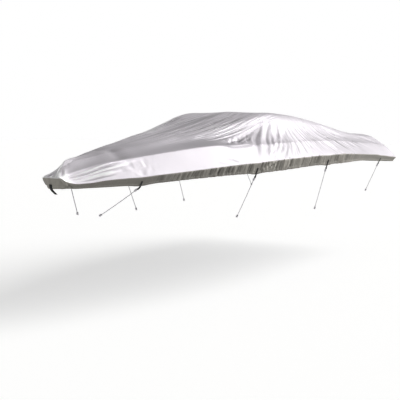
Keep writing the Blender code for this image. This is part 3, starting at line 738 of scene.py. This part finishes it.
# Fine pulls in tight cloth: long ridges that all run one way.
pull_group, begin, finish = node_group(
    "fine pulls",
    [("Place", VECTOR), ("Turn", NUMBER), ("Along", NUMBER), ("Across", NUMBER)],
    [("Height", NUMBER)],
)
turned = pull_group.nodes.new("ShaderNodeVectorRotate")
turned.rotation_type = "Z_AXIS"
stretch = pull_group.nodes.new("ShaderNodeCombineXYZ")
scaled = pull_group.nodes.new("ShaderNodeVectorMath")
scaled.operation = "MULTIPLY"
grain = pull_group.nodes.new("ShaderNodeTexNoise")
grain.inputs["Scale"].default_value = 1.0
grain.inputs["Detail"].default_value = 2.0
join(
    pull_group,
    (begin.outputs["Place"], turned.inputs["Vector"]),
    (begin.outputs["Turn"], turned.inputs["Angle"]),
    (begin.outputs["Along"], stretch.inputs["X"]),
    (begin.outputs["Across"], stretch.inputs["Y"]),
    (turned.outputs["Vector"], scaled.inputs[0]),
    (stretch.outputs["Vector"], scaled.inputs[1]),
    (scaled.outputs["Vector"], grain.inputs["Vector"]),
)
off_middle = math_node(pull_group, "SUBTRACT", grain.outputs["Fac"], 0.5)
slope = product(pull_group, math_node(pull_group, "ABSOLUTE", off_middle), 5.0)
ridge = math_node(pull_group, "MAXIMUM", math_node(pull_group, "SUBTRACT", 1.0, slope), 0.0)
join(pull_group, (math_node(pull_group, "POWER", ridge, 2.0), finish.inputs["Height"]))

# The weave: threads over and under each other, with the odd thick one.
weave_group, begin, finish = node_group(
    "plain weave", [("Place", VECTOR), ("Threads", NUMBER)], [("Height", NUMBER), ("Tone", NUMBER)]
)
parts = weave_group.nodes.new("ShaderNodeSeparateXYZ")
join(weave_group, (begin.outputs["Place"], parts.inputs["Vector"]))
waves = []
for axis in "XY":
    turns = product(weave_group, parts.outputs[axis], begin.outputs["Threads"], math.pi)
    waves.append(math_node(weave_group, "SINE", turns))
slub = weave_group.nodes.new("ShaderNodeTexNoise")
slub.inputs["Scale"].default_value = 3.0
slub.inputs["Detail"].default_value = 4.0
join(
    weave_group,
    (product(weave_group, *waves), finish.inputs["Height"]),
    (begin.outputs["Place"], slub.inputs["Vector"]),
    (slub.outputs["Fac"], finish.inputs["Tone"]),
)

THREADS_PER_METRE, THREAD_HEIGHT = 700.0, 0.00012
# Painted light on a fine pull for each metre of its height, and the most and least that the painted light and
# shade scale the cloth's colour.
PULL_PAINTED_LIGHT, HIGHEST_CREST, DARKEST = 110.0, 3.0, 0.3


def cloth_material(name, light, dark, inside, roughness, metallic, painted_light, streaks):
    """Woven silver polyester, with painted light on its crests and fine pulls and painted shade in its
    hollows.

    streaks lists fine pulls: turn, along, across and height, then where they fade in, are full, fade and
    end, first behind the bow and then up the cloth.
    """
    made, shader = new_material(name, roughness)
    tree = made.node_tree
    shader.inputs["Metallic"].default_value = metallic
    parts = tree.nodes.new("ShaderNodeSeparateXYZ")
    join(tree, (uv_node(tree).outputs["UV"], parts.inputs["Vector"]))
    behind = math_node(tree, "MODULO", parts.outputs["X"], STARBOARD_UV)
    total = 0.0
    for turn, along, across, height, stretch, rise in streaks:
        pulls = group_node(tree, pull_group, Turn=math.radians(turn), Along=along, Across=across)
        lift = product(tree, pulls.outputs["Height"], height)
        for socket, (fade_in, full, fade, gone) in ((behind, stretch), (parts.outputs["Y"], rise)):
            begins, ends = ramp_node(tree, socket, fade_in, full), ramp_node(tree, socket, gone, fade)
            lift = product(tree, lift, begins, ends)
        total = math_node(tree, "ADD", lift, total)
    weave = group_node(tree, weave_group, Threads=THREADS_PER_METRE)
    threads = bump_node(tree, weave.outputs["Height"], THREAD_HEIGHT, shader.inputs["Normal"], 0.5)
    bump_node(tree, total, 1.0, threads.inputs["Normal"])
    tone, lining, painted_fold_light = colour_mix(tree), colour_mix(tree), colour_mix(tree, "MULTIPLY")
    tone.inputs["A"].default_value, tone.inputs["B"].default_value = dark, light
    lining.inputs["B"].default_value = inside
    painted_fold_light.clamp_result = True
    painted_fold_light.inputs["Factor"].default_value = 1.0
    # The crest attribute scales the colour: painted light on crests, painted shade in hollows.
    fold = tree.nodes.new("ShaderNodeAttribute")
    fold.attribute_name = "crest"
    raised = product(tree, math_node(tree, "MINIMUM", fold.outputs["Fac"], HIGHEST_CREST), painted_light)
    raised = math_node(tree, "ADD", raised, product(tree, total, PULL_PAINTED_LIGHT))
    faces = tree.nodes.new("ShaderNodeNewGeometry")
    join(
        tree,
        (weave.outputs["Tone"], tone.inputs["Factor"]),
        (tone.outputs["Result"], painted_fold_light.inputs["A"]),
        (math_node(tree, "MAXIMUM", math_node(tree, "ADD", raised, 1.0), DARKEST), painted_fold_light.inputs["B"]),
        (painted_fold_light.outputs["Result"], lining.inputs["A"]),
        (faces.outputs["Backfacing"], lining.inputs["Factor"]),
        (lining.outputs["Result"], shader.inputs["Base Color"]),
    )
    return made


top_material = cloth_material(
    "silver polyester",
    light=(0.680, 0.648, 0.685, 1),
    dark=(0.600, 0.570, 0.606, 1),
    inside=(0.30, 0.30, 0.33, 1),
    roughness=0.52,
    metallic=0.35,
    painted_light=1.15,
    streaks=(
        (-9, 0.8, 30, 0.0042, (0.9, 1.7, 3.1, 3.4), (0.60, 0.80, 1.25, 1.34)),
        (-11, 1.3, 55, 0.0020, (0.9, 1.7, 3.1, 3.4), (0.50, 0.70, 1.25, 1.34)),
        (0, 0.9, 22, 0.0010, (-0.1, 0.0, 1.2, 1.8), (0.45, 0.80, 1.25, 1.34)),
        (90, 1.6, 24, 0.0012, (1.6, 2.4, 4.6, 5.4), (0.20, 0.30, 0.45, 0.80)),
        (52, 0.9, 16, 0.0010, (3.3, 3.7, 5.6, 6.2), (0.50, 0.75, 1.10, 1.30)),
    ),
)
cover_top = placed("cover_top", cloth_mesh, top_material)
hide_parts("cover_cloth")

# The hem: the cloth's lower edge, turned in under the rim and stitched down over an elastic cord, which
# draws it up into pleats amidships. It is doubled, and the cloth above laps over it.
HEM_THICKNESS = 0.0025
CASING_LEVEL, CASING_WIDTH, CASING_SWELL = 0.13, 0.10, 0.0035
DRAWN_FROM, DRAWN_TO = (1.2, 2.1), (5.4, 4.5)
PUCKER_SHARE, PUCKER_GRAIN, PUCKER_SEED = 0.9, 47, 61
STITCH_LEVEL, GROOVE_WIDTH, GROOVE_DEPTH = 0.27, 0.035, 0.0012
# Painted light on the hem along it, strongest at the nose and towards the stern, and how much painted light
# its edge gets abaft the third tie.
HEM_PAINTED_LIGHT = (0.0, 0.03, 0.10, 1.0, 2.2, 3.6, 6.0), (2.0, 1.6, 0.3, 0.1, 0.4, 1.2, 1.4)
EDGE_PAINTED_LIGHT, EDGE_LEVELS, EDGE_PLACES = 1.1, (0.42, 0.10), (3.6, 4.8)


def casing(behind, level, side):
    """The swelling of the cord in its casing, puckered where the hem is drawn up, and the stitched groove."""
    drawn = ramp(behind, *DRAWN_FROM) * ramp(behind, *DRAWN_TO)
    pucker = soft_noise(behind * PUCKER_GRAIN, np.full_like(behind, 0.5), PUCKER_SEED + side)
    swell = CASING_SWELL * (1 + PUCKER_SHARE * drawn * pucker) * away_from_ties(behind)
    groove = GROOVE_DEPTH * bell(level, STITCH_LEVEL, GROOVE_WIDTH)
    return swell * bell(level, CASING_LEVEL, CASING_WIDTH) - groove


hem_places = stepped(
    (0.014, 0.20, 0.006),
    (0.20, 1.00, 0.014),
    (1.00, 1.60, 0.0075),
    (1.60, 4.50, 0.0052),
    (4.50, 5.20, 0.0085),
    (5.20, 6.40, 0.018),
    (6.40, 6.64, 0.012),
    (6.64, END_PLACE, 0.035),
)
hem_levels = np.concatenate([np.linspace(0, 0.34, 9), np.linspace(0.41, 0.90, 8), np.linspace(0.94, 1.08, 6)])
# Painted light on the hem, added to the painted light and shade of its pleats.
painted_hem_light = EDGE_PAINTED_LIGHT * ramp(hem_levels, *EDGE_LEVELS)[:, None] * ramp(hem_places, *EDGE_PLACES)
painted_hem_light += np.interp(hem_places, *HEM_PAINTED_LIGHT)
halves, hem_painted_light = [], []
for side in (1, -1):
    (outer, inner), painted_light = cloth_half(hem_places, hem_levels, side, (0.0, HEM_THICKNESS), casing)
    halves.append(np.concatenate([outer, inner[::-2]]))
    painted_light = painted_light + painted_hem_light
    hem_painted_light.append(np.concatenate([painted_light, painted_light[::-2]]))
hem_heights = np.interp(hem_levels, range(5), LEVEL_HEIGHTS)
hem_mesh = grid_mesh(
    "cover_hem",
    halves,
    hem_painted_light,
    hem_places,
    np.concatenate([hem_heights, 3.0 - hem_heights[::-2]]),
    wrapped=True,
)
# The hem's colours are painted shade: far darker than the same cloth above, standing in for the shade under
# the rim.
hem_painted_shade_material = cloth_material(
    "silver polyester in the hem",
    light=(0.280, 0.262, 0.238, 1),
    dark=(0.210, 0.203, 0.182, 1),
    inside=(0.20, 0.20, 0.19, 1),
    roughness=0.55,
    metallic=0.3,
    painted_light=0.35,
    streaks=(
        (90, 4.0, 30, 0.0030, (0.9, 1.8, 4.6, 5.4), (-0.1, 0.0, 0.32, 0.40)),
        (90, 4.0, 20, 0.0006, (-1.0, -0.9, 8.0, 8.1), (-0.1, 0.0, 0.32, 0.40)),
    ),
)
cover_hem = placed("cover_hem", hem_mesh, hem_painted_shade_material)

# The seam that closes the casing: a row of short pale stitches in polyester thread along the whole hem. They
# stand a little proud of the groove that they pull into the cloth.
STITCH_PITCH, STITCH_LENGTH, STITCH_WIDTH = 0.0075, 0.0052, 0.0012
STITCH_OUT = 0.0003

seam_levels = STITCH_LEVEL + np.array([-0.01, 0.0, 0.01])
port_line, starboard_line = (
    cloth_half(hem_places, seam_levels, side, (-STITCH_OUT,), casing)[0][0][1] for side in (1, -1)
)
ring = np.concatenate([port_line, starboard_line[-2:0:-1]])
seam_mesh = bpy.data.meshes.new("hem_stitches")
seam_mesh.from_pydata(ring.tolist(), [(k, (k + 1) % len(ring)) for k in range(len(ring))], [])
seam = bpy.data.objects.new("hem_stitches", seam_mesh)
bpy.context.scene.collection.objects.link(seam)

thread_material, _ = new_material("pale thread", 0.7, (0.50, 0.50, 0.46, 1))

stitches = bpy.data.node_groups.new("row of stitches", "GeometryNodeTree")
stitches.interface.new_socket("Geometry", in_out="INPUT", socket_type="NodeSocketGeometry")
for label in ("Pitch", "Length", "Width"):
    stitches.interface.new_socket(label, in_out="INPUT", socket_type="NodeSocketFloat")
stitches.interface.new_socket("Thread", in_out="INPUT", socket_type="NodeSocketMaterial")
stitches.interface.new_socket("Geometry", in_out="OUTPUT", socket_type="NodeSocketGeometry")
begin, finish = stitches.nodes.new("NodeGroupInput"), stitches.nodes.new("NodeGroupOutput")
curve = stitches.nodes.new("GeometryNodeMeshToCurve")
resample = stitches.nodes.new("GeometryNodeResampleCurve")
resample.mode = "LENGTH"
tangent = stitches.nodes.new("GeometryNodeInputTangent")
aim = stitches.nodes.new("FunctionNodeAlignEulerToVector")
size = stitches.nodes.new("ShaderNodeCombineXYZ")
bar = stitches.nodes.new("GeometryNodeMeshCube")
put = stitches.nodes.new("GeometryNodeInstanceOnPoints")
real = stitches.nodes.new("GeometryNodeRealizeInstances")
paint = stitches.nodes.new("GeometryNodeSetMaterial")
join(
    stitches,
    (begin.outputs["Geometry"], curve.inputs["Mesh"]),
    (curve.outputs["Curve"], resample.inputs["Curve"]),
    (begin.outputs["Pitch"], resample.inputs["Length"]),
    (resample.outputs["Curve"], put.inputs["Points"]),
    (begin.outputs["Length"], size.inputs["X"]),
    (begin.outputs["Width"], size.inputs["Y"]),
    (begin.outputs["Width"], size.inputs["Z"]),
    (size.outputs["Vector"], bar.inputs["Size"]),
    (bar.outputs["Mesh"], put.inputs["Instance"]),
    (tangent.outputs["Tangent"], aim.inputs["Vector"]),
    (aim.outputs["Rotation"], put.inputs["Rotation"]),
    (put.outputs["Instances"], real.inputs["Geometry"]),
    (real.outputs["Geometry"], paint.inputs["Geometry"]),
    (begin.outputs["Thread"], paint.inputs["Material"]),
    (paint.outputs["Geometry"], finish.inputs["Geometry"]),
)
sewing = seam.modifiers.new("sewing", "NODES")
sewing.node_group = stitches
sockets = {item.name: item.identifier for item in stitches.interface.items_tree if item.in_out == "INPUT"}
for label, value in (
    ("Pitch", STITCH_PITCH),
    ("Length", STITCH_LENGTH),
    ("Width", STITCH_WIDTH),
    ("Thread", thread_material),
):
    sewing[sockets[label]] = value
sewn = bpy.data.meshes.new_from_object(seam.evaluated_get(bpy.context.evaluated_depsgraph_get()))
seam.modifiers.remove(sewing)
seam.data = sewn
bpy.data.meshes.remove(seam_mesh)
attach(seam, "root")

# The bow strap: a doubled tail of black webbing, sewn to the middle of the hem at the bow. It hangs down
# from there and is drawn back underneath.
STRAP_WIDTH, STRAP_THICKNESS = 0.038, 0.0036
STRAP_RUN = ((3.3424, 0.0, -0.7235), (3.3340, 0.0, -0.7684), (3.3157, 0.0, -0.7885), (3.2657, 0.0, -0.8254))
WEBBING_THREADS, WEBBING_RELIEF = 500.0, 0.0004


def unit(vector):
    """The vector at a length of 1."""
    return vector / np.linalg.norm(vector)


def distances(path):
    """How far along a path each of its points lies."""
    return np.append(0.0, np.cumsum(np.linalg.norm(np.diff(path, axis=0), axis=1)))


def evenly(points, count):
    """The line through the points with its corners cut, as count points evenly along it."""
    line = corners_cut(np.asarray(points, float))
    at = distances(line)
    steps = np.linspace(0, at[-1], count)
    return np.stack([np.interp(steps, at, line[:, axis]) for axis in range(3)], axis=1)


def rings_mesh(name, rings, rounds, along, closed=False):
    """Joins equal rings of points. rounds and along are its UVs, and an open one gets flat ends."""
    count, sides = len(rings), len(rings[0])
    faces, uvs = [], []
    for k in range(count if closed else count - 1):
        for i in range(sides):
            m, n = (k + 1) % count, (i + 1) % sides
            faces.append((k * sides + i, k * sides + n, m * sides + n, m * sides + i))
            uvs += [(rounds[i], along[k]), (rounds[i + 1], along[k])]
            uvs += [(rounds[i + 1], along[k + 1]), (rounds[i], along[k + 1])]
    if not closed:
        faces += [tuple(range(sides - 1, -1, -1)), tuple(range((count - 1) * sides, count * sides))]
        uvs += [(0.0, 0.0)] * (2 * sides)
    mesh = bpy.data.meshes.new(name)
    mesh.from_pydata([tuple(point) for ring in rings for point in ring], [], faces)
    layer = mesh.uv_layers.new(name="UVMap")
    layer.data.foreach_set("uv", np.array(uvs, np.float32).ravel())
    return mesh


def ribbon_mesh(name, path, across, width, thickness):
    """A flat band along a path. UVs are metres across it and metres along it."""
    edge, rim, half = width / 2, width / 2 - thickness / 3, thickness / 2
    outline = [(-edge, 0), (-rim, -half), (rim, -half), (edge, 0), (rim, half), (-rim, half)]
    rings = []
    for point, step in zip(path, np.gradient(path, axis=0)):
        tangent = unit(step)
        side_way = unit(across - tangent * float(across @ tangent))
        out = np.cross(tangent, side_way)
        rings.append([point + side_way * x + out * y for x, y in outline])
    return rings_mesh(name, rings, [x for x, _ in (*outline, outline[0])], distances(path))


webbing_material, shader = new_material("black webbing", 0.6, (0.012, 0.012, 0.014, 1))
tree = webbing_material.node_tree
weave = group_node(tree, weave_group, Threads=WEBBING_THREADS)
bump_node(tree, weave.outputs["Height"], WEBBING_RELIEF, shader.inputs["Normal"])

strap_line, athwart = evenly(STRAP_RUN, 30), np.array([0.0, 1.0, 0.0])
strap_mesh = ribbon_mesh("bow_strap", strap_line, athwart, STRAP_WIDTH, STRAP_THICKNESS)
bow_strap = placed("strap_at_bow", strap_mesh, webbing_material)
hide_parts("bow_strap")

# The tie loops: black webbing, 24 mm wide, four a side, sewn on the outside of the hem and folded back on
# themselves below its edge, so that each leaves an eye, which its rope pulls straight.
WEBBING_WIDTH, WEBBING_THICKNESS = 0.024, 0.0016
LOOP_HALF_PITCH, LOOP_STAND, LOOP_CLEAR = 0.02, 0.0025, 0.0015
LOOP_LEVELS, LOOP_TOP = (0, 0.45, 0.9), 0.35
LOOP_BELOW_EDGE, LOOP_HANG = 0.004, 0.021
LOOP_OPENINGS, LOOP_FOLD = (0.0010, 0.0010, 0.0012, 0.0045, 0.0060), 0.004
# The first and last point of each port rope, from the bow aft. Starboard mirrors them.
ROPE_RUNS = (
    ((2.5713, 0.4209, -0.8272), (2.7735, 0.1636, -1.0570)),
    ((0.9807, 0.9210, -0.7983), (1.0085, 0.7358, -1.1965)),
    ((-0.5139, 1.1535, -0.7628), (-0.5139, 1.0232, -1.2189)),
    ((-2.4440, 1.1387, -0.7832), (-2.4440, 0.9834, -1.1212)),
)
SIDES = {"port": 1, "starboard": -1}


def loop_line(tie, rope_run):
    """The middle line of a port loop: down the hem, clear of its edge, then round to its rope's pull."""
    places = np.array([tie - LOOP_HALF_PITCH, tie + LOOP_HALF_PITCH])
    guides, rows = meridians(places), []
    for level in LOOP_LEVELS:
        points = level_points(guides, places, level)
        points[:, 2] -= tie_pull(places, level)
        rows.append(points)
    edge, middle, fold = (points.mean(axis=0) for points in rows)
    across = unit(rows[1][1] - rows[1][0])
    out_low, out_high = unit(np.cross(across, middle - edge)), unit(np.cross(across, fold - middle))
    below, pull = unit(edge - middle), unit(np.subtract(rope_run[1], rope_run[0]))
    top = middle + (fold - middle) * LOOP_TOP + out_high * LOOP_STAND
    clear = edge + out_low * LOOP_STAND + below * LOOP_BELOW_EDGE
    bend = clear + unit(below + pull) * LOOP_HANG
    knee = middle + unit(out_low + out_high) * LOOP_STAND
    return np.array([top, knee, clear, bend, bend + pull * LOOP_HANG])


# Each loop's eye: its middle, the way across it, and the way that it hangs.
eyes = {}
for side_name, side in SIDES.items():
    for number, (tie, rope_run) in enumerate(zip(TIE_PLACES, ROPE_RUNS), start=1):
        tag = f"{side_name}_{number}"
        middle = loop_line(tie, rope_run) * (1, side, 1)
        down = unit(middle[-1] - middle[-2])
        across = unit(np.cross(middle[2] - middle[0], (0, side, 0.3)))
        away = np.array([unit(np.cross(across, step)) for step in np.gradient(middle, axis=0)])
        away *= np.sign(away[0] @ (0, side, 0))
        middle = middle + away * LOOP_CLEAR
        opening = away * np.array(LOOP_OPENINGS)[:, None]
        bends = [*(middle + opening), middle[-1] + down * LOOP_FOLD, *(middle - opening)[::-1]]
        mesh = ribbon_mesh(f"loop_{tag}", evenly(bends, 40), across, WEBBING_WIDTH, WEBBING_THICKNESS)
        loop = placed(f"loop_{tag}", mesh, webbing_material)
        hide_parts(f"tie_loop_{tag}")
        eyes[tag] = middle[-1] + down * LOOP_FOLD / 2, across, down

# The tie ropes: pale braided rope, 8 mm thick, one in each loop. Each turns through the loop's eye, is
# knotted there, is drawn in under the cover, and ends in a knot of its own.
ROPE_DIAMETER, ROPE_SIDES, ROPE_POINTS, ROPE_SAG = 0.008, 12, 40, 0.004
BRAID_TURNS, BRAID_PITCH, BRAID_RELIEF = 6, 0.011, 0.0012
KNOT_RADIUS, KNOT_HALF_LENGTH, KNOT_POINTS, KNOT_GAP = 0.013, 0.0176, 54, 0.0005
TURN_WIDE, TURN_HIGH, TURN_RADIUS, TURN_POINTS = 0.0155, 0.0100, 0.0036, 36


def tube_mesh(name, path, radius, closed=False):
    """A round tube along a path. UVs give the turn round it and the distance along it in metres."""
    path = np.asarray(path, float)
    before = np.roll(path, 1, axis=0) if closed else np.vstack([path[:1], path[:-1]])
    after = np.roll(path, -1, axis=0) if closed else np.vstack([path[1:], path[-1:]])
    turns = np.linspace(0, 2 * math.pi, ROPE_SIDES, endpoint=False)
    normal, rings = np.cross(after[0] - before[0], (0.31, 0.53, 0.79)), []
    for point, step in zip(path, after - before):
        tangent = unit(step)
        normal = unit(normal - tangent * float(normal @ tangent))
        other = np.cross(tangent, normal)
        rings.append([point + (normal * math.cos(t) + other * math.sin(t)) * radius for t in turns])
    along = distances([*path, path[0]] if closed else path)
    mesh = rings_mesh(name, rings, np.linspace(0, 1, ROPE_SIDES + 1), along, closed)
    mesh.shade_smooth()
    return mesh


def knot_path(centre, axis):
    """The line of a pulled overhand knot, drawn out along the rope."""
    across = unit(np.cross(axis, (0.2, 1.0, 0.1)))
    other = np.cross(axis, across)
    wide = (KNOT_RADIUS - ROPE_DIAMETER / 2) / 3
    deep = KNOT_HALF_LENGTH - ROPE_DIAMETER / 2
    path = []
    for t in np.linspace(0, 2 * math.pi, KNOT_POINTS, endpoint=False):
        x, y = math.sin(t) + 2 * math.sin(2 * t), math.cos(t) - 2 * math.cos(2 * t)
        path.append(centre + across * x * wide + other * y * wide - axis * math.sin(3 * t) * deep)
    return path


rope_material, shader = new_material("pale braided rope", 0.75)
tree = rope_material.node_tree
braid_scale = tree.nodes.new("ShaderNodeMapping")
braid_scale.inputs["Scale"].default_value = (BRAID_TURNS, 1 / BRAID_PITCH, 1)
join(tree, (uv_node(tree).outputs["UV"], braid_scale.inputs["Vector"]))
strands = []
for lean in (45, -45):
    turned = tree.nodes.new("ShaderNodeMapping")
    turned.inputs["Rotation"].default_value = (0, 0, math.radians(lean))
    wave = tree.nodes.new("ShaderNodeTexWave")
    wave.inputs["Scale"].default_value = 0.45
    join(
        tree,
        (braid_scale.outputs["Vector"], turned.inputs["Vector"]),
        (turned.outputs["Vector"], wave.inputs["Vector"]),
    )
    strands.append(wave.outputs["Fac"])
braid = math_node(tree, "MAXIMUM", *strands)
rope_tone = tree.nodes.new("ShaderNodeValToRGB")
rope_tone.color_ramp.elements[0].color = (0.58, 0.55, 0.62, 1)
rope_tone.color_ramp.elements[1].color = (0.90, 0.88, 0.92, 1)
join(tree, (braid, rope_tone.inputs["Fac"]), (rope_tone.outputs["Color"], shader.inputs["Base Color"]))
bump_node(tree, braid, BRAID_RELIEF, shader.inputs["Normal"])

for side_name, side in SIDES.items():
    for number, rope_run in enumerate(ROPE_RUNS, start=1):
        tag = f"{side_name}_{number}"
        start, end = np.array(rope_run) * (1, side, 1)
        pull = unit(end - start)
        steps = np.linspace(0, 1, ROPE_POINTS)[:, None]
        route = start + (end - start) * steps
        route[:, 2] -= ROPE_SAG * 4 * (steps * (1 - steps))[:, 0]
        rope = placed(f"rope_{tag}", tube_mesh(f"rope_{tag}", route, ROPE_DIAMETER / 2), rope_material)
        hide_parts(f"tie_rope_{tag}")
        for name, centre, node in (
            (f"knot_upper_{tag}", start - pull * (KNOT_HALF_LENGTH + KNOT_GAP), f"tie_knot_{tag}"),
            (f"knot_end_{tag}", end + pull * (KNOT_HALF_LENGTH + KNOT_GAP), f"rope_end_knot_{tag}"),
        ):
            mesh = tube_mesh(name, knot_path(centre, pull), ROPE_DIAMETER / 2, closed=True)
            lump = placed(name, mesh, rope_material)
            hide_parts(node)
        eye, across, down = eyes[tag]
        turns = np.linspace(0, 2 * math.pi, TURN_POINTS, endpoint=False)
        ring = [eye + across * math.cos(t) * TURN_WIDE + down * math.sin(t) * TURN_HIGH for t in turns]
        mesh = tube_mesh(f"rope_turn_{tag}", ring, TURN_RADIUS, closed=True)
        turn = placed(f"rope_turn_{tag}", mesh, rope_material)

# The floor and the light: a plain pale floor, one low soft sun from the port quarter, and a sky that is
# bright near the horizon and dim overhead, all white to the camera.
FLOOR_Z, FLOOR_REACH, FLOOR_GLOW = -2.075, 60, 0.55
SUN_FROM, SUN_STRENGTH, SUN_WIDTH = Vector((-0.60, 0.54, 0.60)), 2.6, 45
HORIZON_GLOW, ZENITH_GLOW, GLOW_TOP = 1.25, 0.12, (0.06, 0.45)

floor_mesh = bpy.data.meshes.new("floor")
corners = [(x * FLOOR_REACH, y * FLOOR_REACH, FLOOR_Z) for x, y in ((-1, -1), (1, -1), (1, 1), (-1, 1))]
floor_mesh.from_pydata(corners, [], [(0, 1, 2, 3)])
floor = bpy.data.objects.new("floor", floor_mesh)
bpy.context.scene.collection.objects.link(floor)
floor_material, shader = new_material("pale floor", 0.9, (0.62, 0.62, 0.61, 1))
shader.inputs["Emission Color"].default_value = (1, 1, 1, 1)
tree = floor_material.node_tree
ray = tree.nodes.new("ShaderNodeLightPath")
glow = product(tree, ray.outputs["Is Camera Ray"], FLOOR_GLOW)
join(tree, (glow, shader.inputs["Emission Strength"]))
floor_mesh.materials.append(floor_material)

sun_data = bpy.data.lights.new("sun", "SUN")
sun_data.energy = SUN_STRENGTH
sun_data.angle = math.radians(SUN_WIDTH)
sun = bpy.data.objects.new("sun", sun_data)
sun.rotation_euler = SUN_FROM.to_track_quat("Z", "Y").to_euler()
bpy.context.scene.collection.objects.link(sun)

world = bpy.data.worlds.new("studio")
world.use_nodes = True
bpy.context.scene.world = world
sky = world.node_tree
backdrop, seen = sky.nodes["Background"], sky.nodes.new("ShaderNodeBackground")
for background in (backdrop, seen):
    background.inputs["Color"].default_value = (1, 1, 1, 1)
direction, ray = sky.nodes.new("ShaderNodeTexCoord"), sky.nodes.new("ShaderNodeLightPath")
height, choose = sky.nodes.new("ShaderNodeSeparateXYZ"), sky.nodes.new("ShaderNodeMixShader")
fading = ramp_node(sky, height.outputs["Z"], GLOW_TOP[1], GLOW_TOP[0])
glow = math_node(sky, "ADD", product(sky, fading, HORIZON_GLOW - ZENITH_GLOW), ZENITH_GLOW)
join(
    sky,
    (direction.outputs["Generated"], height.inputs["Vector"]),
    (glow, backdrop.inputs["Strength"]),
    (ray.outputs["Is Camera Ray"], choose.inputs["Fac"]),
    (backdrop.outputs["Background"], choose.inputs[1]),
    (seen.outputs["Background"], choose.inputs[2]),
    (choose.outputs["Shader"], sky.nodes["World Output"].inputs["Surface"]),
)
bpy.context.scene.view_settings.view_transform = "Standard"
